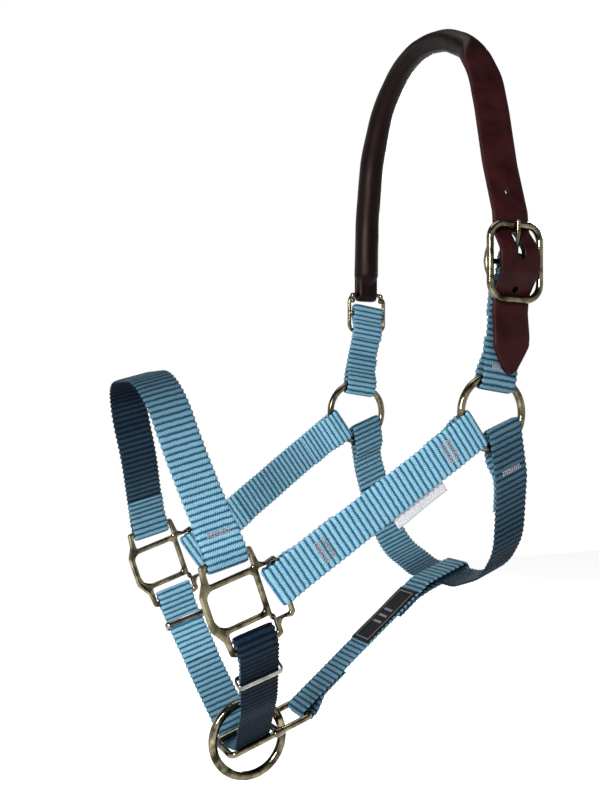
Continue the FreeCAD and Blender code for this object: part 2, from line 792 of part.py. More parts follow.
def plate(label, placement, long, wide, thick):
    """A thin sheet that stands on its local XY plane."""
    body = new_body(label, placement)
    edges = rounded_loop([(-long / 2, -wide / 2), (long / 2, -wide / 2),
                          (long / 2, wide / 2), (-long / 2, wide / 2)], [0.4] * 4)
    sketch = new_sketch(body, label + "_outline", edges)
    lift = body.newObject("PartDesign::Pad", label + "_pad")
    lift.Profile = sketch
    lift.setExpression("Length", thick)
    return body


def make_bartacks(group, placements):
    """Small rows of stitching, one solid each, on the face of a strap."""
    tacks = []
    for number, place in enumerate(placements, start=1):
        tack = plate(f"{group}_{number}", place, dim("bartack_long"), dim("bartack_wide"), "dims.bartack_high")
        tacks.append(tack)
    parts[group] = feature(group, "Part::Compound", Links=tacks)


def face_spot(origin, along, point, outward):
    """A place on a strap's face: local X across the strap, local Z out of it."""
    frame = strap_plane(origin, along)
    out = frame.Rotation.multVec(V(outward[0], outward[1], 0).normalize())
    across = frame.Rotation.multVec(V(0, 0, 1))
    centre = frame.multVec(V(point[0], point[1], 0)) + out * (WEB / 2)
    return plane(centre, across, out.cross(across))


CHEEK_TACKS = (37, 41.5, 131, 136)
NOSE_TACK = 11.0


def make_stitching():
    ring_x = dim("side_ring_x")
    outer = ring_x + RING_LAYER
    square_outer = dim("square_x") + SQUARE_LAYER
    slope = (square_outer - outer) / (CHEEK_BAR_CLEAR - RING_CLEAR)
    cheek = side_direction(180 + dim("cheek_fall"))
    spots = []
    for side in SIDES.values():
        for s in CHEEK_TACKS:
            spots.append(face_spot(RING, cheek, (side * (outer + slope * (s - RING_CLEAR)), s), (side, -slope)))
    make_bartacks("cheek_bartacks", spots)

    nose = side_direction(90 + dim("nose_lean"))
    low = V(square_outer, NOSE_BAR_CLEAR, 0)
    run = (V(*NOSE_BEND, 0) - low).normalize()
    spot = low + run * NOSE_TACK
    spots = [face_spot(NOSE_ORIGIN, nose, (side * spot.x, spot.y), (side * run.y, -run.x))
             for side in SIDES.values()]
    make_bartacks("noseband_bartacks", spots)

    throat = side_direction(THROAT_LEAN)
    spots = [face_spot(THROAT_ORIGIN, throat, (side * outer, 35), (side, 0)) for side in SIDES.values()]
    make_bartacks("throat_bartacks", spots)

    post = side_direction(90 - dim("post_lean"))
    run = (V(FAR_POST_X, 55, 0) - V(outer, RING_CLEAR + 4, 0)).normalize()
    spot = V(outer, RING_CLEAR + 4, 0) + run * 12
    spots = [face_spot(RING, post, (-spot.x, spot.y), (-run.y, -run.x)),
             face_spot(RING, post, (outer, RING_CLEAR + 1), (1, 0))]
    make_bartacks("crown_post_bartacks", spots)


def make_label():
    start, end = connecting_run()
    run = (end - start).normalize()
    lift = V(0, -run.z, run.y)
    centre = start + run * LABEL_REACH + lift * (WEB / 2 + 0.05)
    place = plane(centre, run, V(-1, 0, 0))
    parts["woven_label"] = plate("woven_label", place, dim("label_long"), dim("label_wide"), "dims.label_thick")


def make_tag():
    ring_x = dim("side_ring_x")
    outer = ring_x + RING_LAYER
    slope = (dim("square_x") + SQUARE_LAYER - outer) / (CHEEK_BAR_CLEAR - RING_CLEAR)
    cheek = side_direction(180 + dim("cheek_fall"))
    frame = strap_plane(RING, cheek)
    down = frame.Rotation.multVec(V(0, 0, 1))
    if down.z > 0:
        down = down * -1
    along = frame.Rotation.multVec(V(slope, 1, 0).normalize())
    face = outer + slope * (TAG_AT - RING_CLEAR) - WEB / 2 - 0.1
    centre = frame.multVec(V(face, TAG_AT, 0)) + down * (dim("webbing_width") / 2)
    place = plane(centre, along, down)
    if place.Rotation.multVec(V(0, 0, 1)).x > 0:
        place = plane(centre, along * -1, down)
    tag = plate("size_tag", place, dim("tag_long"), dim("tag_drop"), "dims.tag_thick")
    parts["size_tag"] = tag


make_rings()
make_squares()
make_cheek_straps()
make_noseband()
make_chin_strap()
make_throat_strap()
make_chin_link()
make_connecting_strap()
make_near_post()
make_far_post()
make_crown()
make_buckle()
make_far_loop()
make_keepers()
make_stitching()
make_label()
make_tag()
doc.recompute()

for thing in doc.Objects:
    if "Invalid" in thing.State or "Error" in thing.State:
        raise RuntimeError(f"{thing.Label} did not compute")

os.makedirs("parts", exist_ok=True)
for name, piece in parts.items():
    shape = piece.Shape
    if shape.isNull() or not shape.isValid():
        raise RuntimeError(f"{name} has no valid shape")
    shape.exportStep(f"parts/{name}.step")
    print(name, len(shape.Solids), round(shape.Volume))
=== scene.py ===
import json
import math
import random
from functools import partial

import bmesh
import bpy
from mathutils import Matrix, Vector, noise


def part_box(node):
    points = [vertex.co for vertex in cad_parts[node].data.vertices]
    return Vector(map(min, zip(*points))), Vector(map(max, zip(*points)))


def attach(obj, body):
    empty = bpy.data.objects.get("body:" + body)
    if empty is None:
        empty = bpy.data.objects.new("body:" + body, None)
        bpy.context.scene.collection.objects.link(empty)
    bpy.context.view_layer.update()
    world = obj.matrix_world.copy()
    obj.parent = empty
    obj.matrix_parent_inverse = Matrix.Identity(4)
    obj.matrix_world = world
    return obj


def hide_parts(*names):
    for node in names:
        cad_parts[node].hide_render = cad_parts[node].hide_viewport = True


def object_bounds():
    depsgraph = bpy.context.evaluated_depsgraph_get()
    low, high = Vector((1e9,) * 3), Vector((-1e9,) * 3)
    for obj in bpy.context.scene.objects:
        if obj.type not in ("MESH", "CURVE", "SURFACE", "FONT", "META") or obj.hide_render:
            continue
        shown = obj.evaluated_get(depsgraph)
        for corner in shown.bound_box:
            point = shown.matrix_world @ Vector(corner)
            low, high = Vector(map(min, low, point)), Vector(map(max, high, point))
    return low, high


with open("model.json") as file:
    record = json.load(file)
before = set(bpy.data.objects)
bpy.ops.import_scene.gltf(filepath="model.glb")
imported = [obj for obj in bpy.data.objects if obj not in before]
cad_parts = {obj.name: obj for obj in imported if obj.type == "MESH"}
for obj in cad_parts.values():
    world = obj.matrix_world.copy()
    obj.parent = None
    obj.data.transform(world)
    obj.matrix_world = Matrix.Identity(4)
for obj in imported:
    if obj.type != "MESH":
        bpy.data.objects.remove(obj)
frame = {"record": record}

# The head halter's looks. Lengths are millimetres in the part's own frame, which make_object() turns
# to metres; the camera, lights and floor are in metres. +X is the near side, -Y the nose and +Z up.

cad_low, cad_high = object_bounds()
random.seed(7)
MM = 0.001
SIDES = {"near": 1, "far": -1}


def mount_mm(name):
    mount = next(m for m in frame["record"]["mounts"] if m["name"] == name)
    return Vector(mount["pos_m"]) / MM


def centre_mm(node):
    low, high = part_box(node)
    return (Vector(low) + Vector(high)) / 2 / MM


NEAR_RING = mount_mm("near_side_ring_eye")
LEAD_RING = mount_mm("lead_ring_eye")
RING_X = NEAR_RING.x
RING_ORIGIN = Vector((0, NEAR_RING.y, NEAR_RING.z))
SQUARE_X = centre_mm("near_nose_square").x
LINK_X = centre_mm("chin_link").x

WEB = 2.0                    # webbing thickness
HALF_WEB = 12.5              # half its width
STACK = WEB + 0.15           # from one layer's middle to the next
RING_LAYER = 3.9             # from the ring's wire to a layer's middle
SQUARE_LAYER = 2.9
RIB = 3.7                    # pitch of the webbing's ribs
STEPS_PER_RIB = 6


# ---- paths

class Plane:
    """A flat drawing plane in space: x is across, y is along, z is its normal."""

    def __init__(self, origin, across, along, width=None):
        self.origin = Vector(origin)
        self.across = Vector(across)
        self.along = Vector(along)
        self.normal = self.across.cross(self.along)
        self.width = Vector(width) if width is not None else self.normal

    def at(self, x, y, w=0.0):
        return self.origin + self.across * x + self.along * y + self.width * w

    def turn(self, x, y):
        return self.across * x + self.along * y


def side_direction(degrees):
    angle = math.radians(degrees)
    return Vector((0, math.cos(angle), math.sin(angle)))


def strap_plane(origin, along, width=None):
    return Plane(origin, (1, 0, 0), along, width)


def rounded(points, radii, step=0.3):
    """A dense line through the points with each inner corner rounded."""
    points = [Vector(p) for p in points]
    line = [points[0]]
    for before, corner, after, radius in zip(points, points[1:], points[2:], radii):
        into = (corner - before).normalized()
        out = (after - corner).normalized()
        turn = into.angle(out)
        if turn < 1e-4:
            line.append(corner)
            continue
        reach = radius * math.tan(turn / 2)
        start = corner - into * reach
        centre = corner + (out - into).normalized() * (radius / math.cos(turn / 2))
        spoke = start - centre
        sense = 1 if into.cross(out) > 0 else -1
        count = max(3, math.ceil(radius * turn / step))
        for i in range(count + 1):
            angle = sense * turn * i / count
            c, s = math.cos(angle), math.sin(angle)
            line.append(centre + Vector((spoke.x * c - spoke.y * s, spoke.x * s + spoke.y * c)))
    line.append(points[-1])
    return line


def closed_loop(points, radii, step=0.3):
    middle = (Vector(points[-1]) + Vector(points[0])) / 2
    return rounded([middle, *points, middle], radii, step)[:-1]


def evenly(line, step):
    """Points every step along a line, each with its left normal and its distance."""
    lengths = [0.0]
    for a, b in zip(line, line[1:]):
        lengths.append(lengths[-1] + (b - a).length)
    total = lengths[-1]
    count = max(2, round(total / step))
    samples = []
    k = 0
    for i in range(count + 1):
        s = total * i / count
        while k < len(line) - 2 and lengths[k + 1] < s:
            k += 1
        part = (s - lengths[k]) / max(1e-9, lengths[k + 1] - lengths[k])
        samples.append((line[k].lerp(line[k + 1], part), s))
    result = []
    for i, (point, s) in enumerate(samples):
        ahead = samples[min(i + 1, count)][0]
        behind = samples[max(i - 1, 0)][0]
        run = (ahead - behind).normalized()
        result.append((point, Vector((-run.y, run.x)), s))
    return result


def beside(start, run, reach, side):
    """A point on the inner layer, opposite the place this far along the outer one."""
    inward = Vector((-run.y, run.x)) if side > 0 else Vector((run.y, -run.x))
    return Vector(start) + run * reach + inward * STACK


def inner_corner(before, corner, after):
    into = (Vector(corner) - Vector(before)).normalized()
    out = (Vector(after) - Vector(corner)).normalized()
    left = Vector((-into.y - out.y, into.x + out.x)).normalized()
    return Vector(corner) + left * (STACK / math.cos(into.angle(out) / 2))


def mirrored(points, side):
    return [Vector((p[0] * side, p[1])) for p in points]


# ---- mesh helpers

def add(thing):
    bpy.context.scene.collection.objects.link(thing)


def make_object(name, verts, faces, smooth=True):
    mesh = bpy.data.meshes.new(name)
    mesh.from_pydata([tuple(v * MM) for v in verts], [], faces)
    mesh.update()
    if smooth:
        mesh.shade_smooth()
    piece = bpy.data.objects.new(name, mesh)
    add(piece)
    return piece


def tidy_normals(piece):
    bm = bmesh.new()
    bm.from_mesh(piece.data)
    bmesh.ops.recalc_face_normals(bm, faces=bm.faces)
    bm.to_mesh(piece.data)
    bm.free()


def place(piece, body, slot, material, *nodes):
    tidy_normals(piece)
    piece.data.materials.clear()
    piece.data.materials.append(material)
    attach(piece, body)
    if nodes:
        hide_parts(*nodes)
    return piece


def ring_faces(rings, around, wrap=False):
    """Quads between rings of vertices that follow one another."""
    faces = []
    for i in range(rings if wrap else rings - 1):
        a = i * around
        b = ((i + 1) % rings) * around
        for j in range(around):
            k = (j + 1) % around
            faces.append((a + j, a + k, b + k, b + j))
    if not wrap:
        faces.append(tuple(reversed(range(around))))
        faces.append(tuple(range((rings - 1) * around, rings * around)))
    return faces


def tube(verts, faces, centres, radius, around=10, closed=False, squash=None):
    """A round bar along 3-D points, added to verts and faces. radius may be a function of the index."""
    base = len(verts)
    count = len(centres)
    guide = None
    for i, centre in enumerate(centres):
        if closed:
            run = centres[(i + 1) % count] - centres[i - 1]
        else:
            run = centres[min(i + 1, count - 1)] - centres[max(i - 1, 0)]
        run.normalize()
        if guide is None:
            guide = run.orthogonal() if squash is None else Vector(squash[0])
        guide = (guide - run * guide.dot(run)).normalized()
        side = run.cross(guide)
        r = radius(i) if callable(radius) else radius
        flat = 1.0 if squash is None else squash[1]
        for j in range(around):
            angle = math.tau * j / around
            verts.append(centre + guide * (math.cos(angle) * r * flat) + side * (math.sin(angle) * r))
    for face in ring_faces(count, around, closed):
        faces.append(tuple(base + k for k in face))


# ---- materials

def new_material(name):
    material = bpy.data.materials.new(name)
    material.use_nodes = True
    nodes = material.node_tree.nodes
    return material, nodes, material.node_tree.links, nodes["Principled BSDF"]


def math_node(nodes, links, kind, a, b=None, c=None, clamp=False):
    node = nodes.new("ShaderNodeMath")
    node.operation = kind
    node.use_clamp = clamp
    for socket, value in zip(node.inputs, (a, b, c)):
        if value is None:
            continue
        if isinstance(value, (int, float)):
            socket.default_value = value
        else:
            links.new(value, socket)
    return node.outputs[0]


def ramp(nodes, links, fac, stops):
    node = nodes.new("ShaderNodeValToRGB")
    elements = node.color_ramp.elements
    while len(elements) < len(stops):
        elements.new(0.5)
    for element, (position, colour) in zip(elements, stops):
        element.position = position
        element.color = (*colour, 1)
    links.new(fac, node.inputs[0])
    return node.outputs[0]


def mix_colour(nodes, links, fac, a, b, blend="MIX"):
    node = nodes.new("ShaderNodeMix")
    node.data_type = "RGBA"
    node.blend_type = blend
    factor, first, second = node.inputs[0], node.inputs[6], node.inputs[7]
    for socket, value in ((factor, fac), (first, a), (second, b)):
        if isinstance(value, (int, float)):
            socket.default_value = value
        elif isinstance(value, tuple):
            socket.default_value = (*value, 1)
        else:
            links.new(value, socket)
    return node.outputs[2]


def noise_node(nodes, links, scale, detail=4.0, vector=None, rough=0.55):
    node = nodes.new("ShaderNodeTexNoise")
    node.inputs["Scale"].default_value = scale
    node.inputs["Detail"].default_value = detail
    node.inputs["Roughness"].default_value = rough
    if vector is not None:
        links.new(vector, node.inputs["Vector"])
    return node.outputs["Fac"]


def bump(nodes, links, height, distance, strength=1.0, after=None):
    node = nodes.new("ShaderNodeBump")
    node.inputs["Distance"].default_value = distance
    node.inputs["Strength"].default_value = strength
    links.new(height, node.inputs["Height"])
    if after is not None:
        links.new(after, node.inputs["Normal"])
    return node.outputs["Normal"]


def object_space(nodes):
    return nodes.new("ShaderNodeTexCoord").outputs["Object"]


THREAD = 1.35        # pitch of the fine lengthwise threads


def webbing_material():
    """Ribs across, fine threads along, with a painted highlight on each rib crest, painted shade in each
    groove and painted shade from an attribute; the map holds millimetres across and along the strap.
    """
    material, nodes, links, shader = new_material("ribbed_webbing")
    calc = partial(math_node, nodes, links)
    strap_map = nodes.new("ShaderNodeUVMap")
    strap_map.uv_map = "strap_mm"
    split = nodes.new("ShaderNodeSeparateXYZ")
    links.new(strap_map.outputs[0], split.inputs[0])
    across, along = split.outputs[0], split.outputs[1]
    wobble = noise_node(nodes, links, 260.0, 3.0, object_space(nodes))
    shaken = calc("MULTIPLY_ADD", wobble, 1.1, along)
    rib_phase = calc("MULTIPLY", shaken, math.tau / RIB)
    # Painted highlight and shade: the rib crests are painted lighter and the grooves darker, standing in for
    # how light falls across the ribs.
    rib = calc("COSINE", calc("SUBTRACT", rib_phase, 0.55 * math.tau / RIB))
    crest = calc("POWER", calc("MULTIPLY_ADD", rib, 0.5, 0.5), 0.62)
    row = calc("FLOOR", calc("DIVIDE", along, RIB / 2))
    offset = calc("MULTIPLY", row, math.pi)
    offset = calc("MULTIPLY_ADD", along, 0.55, offset)
    thread_phase = calc("MULTIPLY_ADD", across, math.tau / THREAD, offset)
    thread = calc("MULTIPLY_ADD", calc("COSINE", thread_phase), 0.5, 0.5)
    fuzz = noise_node(nodes, links, 1500.0, 2.0, object_space(nodes))
    lit = calc("MULTIPLY", crest, calc("MULTIPLY_ADD", thread, 0.48, 0.52))
    level = calc("MULTIPLY_ADD", fuzz, 0.24, calc("SUBTRACT", lit, 0.12))
    bright = ramp(nodes, links, level, [
        (0.04, (0.0060, 0.036, 0.070)),
        (0.24, (0.0180, 0.085, 0.140)),
        (0.46, (0.0850, 0.190, 0.255)),
        (0.86, (0.1650, 0.270, 0.325)),
    ])
    # A near-black copy of the webbing colours: painted shade.
    painted_shade_ramp = ramp(nodes, links, level, [
        (0.15, (0.0004, 0.0010, 0.0035)),
        (0.55, (0.0009, 0.0036, 0.0090)),
        (0.90, (0.0034, 0.0130, 0.0240)),
    ])
    # Painted shade: the attribute mixes towards the near-black copy where a face would lie in shadow.
    painted_shade_and_tone = nodes.new("ShaderNodeAttribute")
    painted_shade_and_tone.attribute_name = "painted_shade_and_tone"
    colour = mix_colour(nodes, links, painted_shade_and_tone.outputs["Fac"], painted_shade_ramp, bright)
    links.new(colour, shader.inputs["Base Color"])
    shader.inputs["Roughness"].default_value = 0.62
    shader.inputs["Specular IOR Level"].default_value = 0.04
    height = calc("MULTIPLY_ADD", thread, 0.6, fuzz)
    links.new(bump(nodes, links, height, 0.00035, 0.9), shader.inputs["Normal"])
    return material


def leather_material():
    material, nodes, links, shader = new_material("oiled_leather")
    calc = partial(math_node, nodes, links)
    space = object_space(nodes)
    # In the leather this attribute holds no shade: it is the leather's own colour, near-black on the roll and
    # brown on the flat strap.
    painted_shade_and_tone = nodes.new("ShaderNodeAttribute")
    painted_shade_and_tone.attribute_name = "painted_shade_and_tone"
    cloud = noise_node(nodes, links, 70.0, 5.0, space)
    flat = ramp(nodes, links, cloud, [(0.30, (0.0070, 0.0012, 0.0016)), (0.72, (0.0190, 0.0032, 0.0040))])
    roll = ramp(nodes, links, cloud, [(0.30, (0.0008, 0.0004, 0.0004)), (0.72, (0.0030, 0.0010, 0.0010))])
    links.new(mix_colour(nodes, links, painted_shade_and_tone.outputs["Fac"], roll, flat), shader.inputs["Base Color"])
    grain = nodes.new("ShaderNodeTexVoronoi")
    grain.inputs["Scale"].default_value = 1300.0
    links.new(space, grain.inputs["Vector"])
    fine = noise_node(nodes, links, 2600.0, 3.0, space)
    height = calc("MULTIPLY_ADD", fine, 0.5, grain.outputs["Distance"])
    links.new(bump(nodes, links, height, 0.00012, 0.5), shader.inputs["Normal"])
    rough = calc("MULTIPLY_ADD", cloud, 0.25, 0.30)
    links.new(rough, shader.inputs["Roughness"])
    shader.inputs["Specular IOR Level"].default_value = 0.09
    shader.inputs["Specular Tint"].default_value = (1.0, 0.66, 0.62, 1)
    return material


def brass_material(name, low, high, rough_low, rough_span):
    """Cast metal with cloudy tarnish and fine scratches."""
    material, nodes, links, shader = new_material(name)
    calc = partial(math_node, nodes, links)
    space = object_space(nodes)
    cloud = noise_node(nodes, links, 110.0, 6.0, space, 0.6)
    links.new(ramp(nodes, links, cloud, [(0.35, low), (0.66, high)]), shader.inputs["Base Color"])
    shader.inputs["Metallic"].default_value = 1.0
    scratch = noise_node(nodes, links, 900.0, 4.0, space)
    rough = calc("MULTIPLY_ADD", scratch, rough_span, rough_low)
    links.new(rough, shader.inputs["Roughness"])
    lumps = noise_node(nodes, links, 320.0, 3.0, space)
    links.new(bump(nodes, links, lumps, 0.00035, 0.35), shader.inputs["Normal"])
    return material


def thread_material(name, low, high):
    material, nodes, links, shader = new_material(name)
    cloud = noise_node(nodes, links, 900.0, 2.0, object_space(nodes))
    links.new(ramp(nodes, links, cloud, [(0.35, low), (0.65, high)]), shader.inputs["Base Color"])
    shader.inputs["Roughness"].default_value = 0.5
    shader.inputs["Specular IOR Level"].default_value = 0.2
    links.new(bump(nodes, links, cloud, 0.0001, 0.6), shader.inputs["Normal"])
    return material


def label_material():
    """Black damask with a plain border and bars; the map runs 0 to 1 each way."""
    material, nodes, links, shader = new_material("black_woven_label")
    calc = partial(math_node, nodes, links)
    strap_map = nodes.new("ShaderNodeUVMap")
    strap_map.uv_map = "label"
    split = nodes.new("ShaderNodeSeparateXYZ")
    links.new(strap_map.outputs[0], split.inputs[0])
    u, v = split.outputs[0], split.outputs[1]
    edge_u = calc("ABSOLUTE", calc("SUBTRACT", u, 0.5))
    edge_v = calc("ABSOLUTE", calc("SUBTRACT", v, 0.5))
    bars = calc("GREATER_THAN", calc("SINE", calc("MULTIPLY", u, math.tau * 9)), 0.55)
    inside_u = calc("LESS_THAN", edge_u, 0.17)
    inside_v = calc("LESS_THAN", edge_v, 0.22)
    bars = calc("MULTIPLY", bars, calc("MULTIPLY", inside_u, inside_v))
    line_u = calc("COMPARE", edge_u, 0.44, 0.006)
    line_v = calc("COMPARE", edge_v, 0.38, 0.014)
    in_u = calc("LESS_THAN", edge_u, 0.446)
    in_v = calc("LESS_THAN", edge_v, 0.394)
    border = calc("MAXIMUM", calc("MULTIPLY", line_u, in_v),
                       calc("MULTIPLY", line_v, in_u))
    mark = calc("MAXIMUM", bars, border)
    weave = calc("SINE", calc("MULTIPLY", v, 420.0))
    base = mix_colour(nodes, links, mark, (0.0012, 0.0012, 0.0018), (0.15, 0.155, 0.165))
    links.new(base, shader.inputs["Base Color"])
    shader.inputs["Roughness"].default_value = 0.6
    shader.inputs["Specular IOR Level"].default_value = 0.12
    links.new(bump(nodes, links, weave, 0.0001, 0.5), shader.inputs["Normal"])
    return material


webbing_look = webbing_material()
leather_look = leather_material()
brass_look = brass_material("antique_brass", (0.014, 0.012, 0.008), (0.230, 0.200, 0.125), 0.06, 0.12)
steel_look = brass_material("nickel_band", (0.045, 0.042, 0.036), (0.260, 0.250, 0.230), 0.10, 0.14)
thread_look = thread_material("bartack_thread", (0.110, 0.100, 0.125), (0.260, 0.240, 0.270))
label_look = label_material()
tag_look = thread_material("white_satin", (0.24, 0.245, 0.26), (0.31, 0.315, 0.33))


# ---- webbing

COLUMNS = 14


def between(stops, t, k):
    """The k-th value of the stops at t, with straight runs between them."""
    if t <= stops[0][0]:
        return stops[0][k]
    for a, b in zip(stops, stops[1:]):
        if t <= b[0]:
            return a[k] + (b[k] - a[k]) * (t - a[0]) / (b[0] - a[0])
    return stops[-1][k]


def webbing(name, plane, points, radii, body, node, painted_shade_stops, seed=0.0):
    """A ribbed strap. The stops list (part of the way along, tone of the left face, of the right face); these
    tones are painted shade, low where a face would lie in shadow.
    """
    samples = evenly(rounded(points, radii), RIB / STEPS_PER_RIB)
    total = samples[-1][2]
    verts, painted_shade_and_tones, maps = [], [], []
    for point, normal, s in samples:
        rib = 0.5 + 0.5 * math.cos(math.tau * s / RIB)
        half = HALF_WEB - 0.75 * (1 - rib)
        end = min(1.0, (min(s, total - s) + 0.4) / 1.6)
        thick = (0.60 + 0.40 * rib ** 0.8) * (0.55 + 0.45 * end)
        sway = 0.22 * noise.noise(Vector((s * 0.03, seed, 1.7)))
        ragged = 0.30 * noise.noise(Vector((s * 0.055, seed, 8.3)))
        for side in (1, -1):
            # Painted shade: each face's tone darkens it where that face would lie in shadow.
            painted_shade_and_tone = between(painted_shade_stops, s / total, 1 if side > 0 else 2)
            painted_shade_and_tone += 0.06 * noise.noise(Vector((s * 0.05, seed, 3.1)))
            for j in range(COLUMNS + 1):
                x = (j / COLUMNS * 2 - 1) * side
                spread = math.copysign(1 - (1 - abs(x)) ** 1.25, x)
                body_thick = thick * (1 - abs(spread) ** 9) ** 0.5
                if abs(x) == 1:
                    body_thick = 0.22 * thick
                height = body_thick * side + sway
                w = spread * half + ragged
                verts.append(plane.at(point.x + normal.x * height, point.y + normal.y * height, w))
                painted_shade_and_tones.append(min(1.0, max(0.0, painted_shade_and_tone)))
                maps.append((w, s))
    around = 2 * (COLUMNS + 1)
    piece = make_object(name, verts, ring_faces(len(samples), around))
    mesh = piece.data
    attribute = mesh.attributes.new("painted_shade_and_tone", "FLOAT", "POINT")
    attribute.data.foreach_set("value", painted_shade_and_tones)
    layer = mesh.uv_layers.new(name="strap_mm")
    for loop in mesh.loops:
        layer.data[loop.index].uv = maps[loop.vertex_index]
    return place(piece, body, "webbing", webbing_look, node)


CHEEK_FALL = 35.5
CHEEK_FOLD = 169.6
CHEEK_CLEAR = 153.0
RING_FOLD = 14.0
RING_CLEAR = 26.0


def cheek_outer(s):
    outer = RING_X + RING_LAYER
    slope = (SQUARE_X + SQUARE_LAYER - outer) / (CHEEK_CLEAR - RING_CLEAR)
    return outer + slope * (s - RING_CLEAR)


def cheek_plane():
    return strap_plane(RING_ORIGIN, side_direction(180 + CHEEK_FALL))


def make_cheeks():
    ring_fold, square_fold = RING_LAYER * 0.97, SQUARE_LAYER * 0.97
    points = [
        (cheek_outer(50) - STACK, 50),
        (cheek_outer(35) - STACK, 35),
        (RING_X - RING_LAYER, 25),
        (RING_X - RING_LAYER, RING_FOLD),
        (RING_X + RING_LAYER, RING_FOLD),
        (RING_X + RING_LAYER, RING_CLEAR),
        (SQUARE_X + SQUARE_LAYER, CHEEK_CLEAR),
        (SQUARE_X + SQUARE_LAYER, CHEEK_FOLD),
        (SQUARE_X - SQUARE_LAYER, CHEEK_FOLD),
        (SQUARE_X - SQUARE_LAYER, CHEEK_CLEAR),
        (cheek_outer(146) - STACK, 146),
        (cheek_outer(118) - STACK, 118),
    ]
    radii = [5, 5, ring_fold, ring_fold, 20, 20, square_fold, square_fold, 5, 5]
    for name, side in SIDES.items():
        # Painted shade for the cheeks' two faces: one face of the near cheek is painted darker.
        faces = (0.70, 1.0) if side > 0 else (1.0, 0.95)
        webbing(f"{name}_cheek_webbing", cheek_plane(), mirrored(points, side), radii, "nose",
                f"{name}_cheek_strap", [(0, *faces)], seed=side)


NOSE_ORIGIN = (0, -177.3, -330.1)
NOSE_LEAN = 15.5
NOSE_BEND = Vector((56.3, 54.0))
NOSE_START = Vector((SQUARE_X + SQUARE_LAYER, 9.0))


def nose_plane():
    return strap_plane(NOSE_ORIGIN, side_direction(90 + NOSE_LEAN))


def make_noseband():
    outer, inner = SQUARE_X + SQUARE_LAYER, SQUARE_X - SQUARE_LAYER
    run = (NOSE_BEND - NOSE_START).normalized()
    leg = [
        beside(NOSE_START, run, 20, 1),
        beside(NOSE_START, run, 8, 1),
        (inner, 8),
        (inner, -0.2),
        (outer, -0.2),
        NOSE_START,
        NOSE_BEND,
        (40, 110),
    ]
    fold = SQUARE_LAYER * 0.97
    leg_radii = [8, 5, fold, fold, 12, 120, 34]
    points = [Vector(p) for p in leg] + mirrored(reversed(leg), -1)
    # The stops are painted shade: dark across the noseband's top and along one face most of the way, lighter
    # near the squares.
    webbing("noseband_webbing", nose_plane(), points, leg_radii + leg_radii[::-1], "nose", "noseband",
            [(0.07, 0.6, 0.6), (0.12, 0.3, 0.9), (0.25, 0.2, 0.72), (0.35, 0.1, 0.42), (0.40, 0.02, 0.20),
             (0.50, 0.0, 0.10), (0.60, 0.0, 0.14), (0.66, 0.02, 0.5), (0.80, 0.08, 0.72), (0.90, 0.15, 0.88),
             (0.94, 0.55, 0.55)], seed=4)


CHIN_ORIGIN = (0, -162.8, -366.3)
CHIN_LEAN = 17.2
NEAR_CHIN_BEND = Vector((48.0, 53.0))
FAR_CHIN_BEND = Vector((-48.0, 60.0))
RAIL_DEPTH = 90.7
LINK_RAIL = 15.0             # from the link's middle to either rail
CHIN_WRAP = 4.2              # from a rail's middle to the webbing around it


def chin_plane():
    return strap_plane(CHIN_ORIGIN, side_direction(CHIN_LEAN - 90))


def chin_run(side):
    start = Vector((side * (SQUARE_X + SQUARE_LAYER), 12.0))
    bend = NEAR_CHIN_BEND if side > 0 else FAR_CHIN_BEND
    return start, (bend - start).normalized()


def make_chin():
    outer, inner = SQUARE_X + SQUARE_LAYER, SQUARE_X - SQUARE_LAYER
    near_rail, far_rail = LINK_X + LINK_RAIL, LINK_X - LINK_RAIL
    wrap = CHIN_WRAP
    near_start, near_run = chin_run(1)
    far_start, far_run = chin_run(-1)
    points = [
        beside(near_start, near_run, 46, 1),
        beside(near_start, near_run, 7, 1),
        (inner, 10),
        (inner, 1),
        (outer, 1),
        (outer, 12),
        NEAR_CHIN_BEND,
        (near_rail - wrap - 1.1, RAIL_DEPTH + 0.2),
        (far_rail + 6, RAIL_DEPTH + wrap),
        (far_rail - wrap + 0.8, RAIL_DEPTH + wrap),
        (far_rail - wrap - 1.0, RAIL_DEPTH - 0.7),
        FAR_CHIN_BEND,
        (-outer, 12),
        (-outer, 1),
        (-inner, 1),
        (-inner, 10),
        beside(far_start, far_run, 7, -1),
        beside(far_start, far_run, 44, -1),
    ]
    fold = SQUARE_LAYER * 0.97
    radii = [4, 4, fold, fold, 14, 60, 4, 5, 3.2, 5, 40, 14, fold, fold, 4, 4]
    # The stops are painted shade: one face near black along the near half of the strap, the far half lighter.
    webbing("chin_webbing", chin_plane(), points, radii, "nose", "chin_strap",
            [(0.10, 0.4, 0.1), (0.16, 0.5, 0.0), (0.42, 0.4, 0.0), (0.50, 0.3, 0.1), (0.60, 0.5, 0.6),
             (0.75, 0.8, 0.85), (1.0, 0.9, 0.9)], seed=6)


THROAT_ORIGIN = Vector((0, -6.3, -246.0))
THROAT_LEAN = -81.5
THROAT_RISE = 22.0
THROAT_BOTTOM = 113.0


def throat_plane():
    return strap_plane(THROAT_ORIGIN, side_direction(THROAT_LEAN), side_direction(THROAT_RISE))


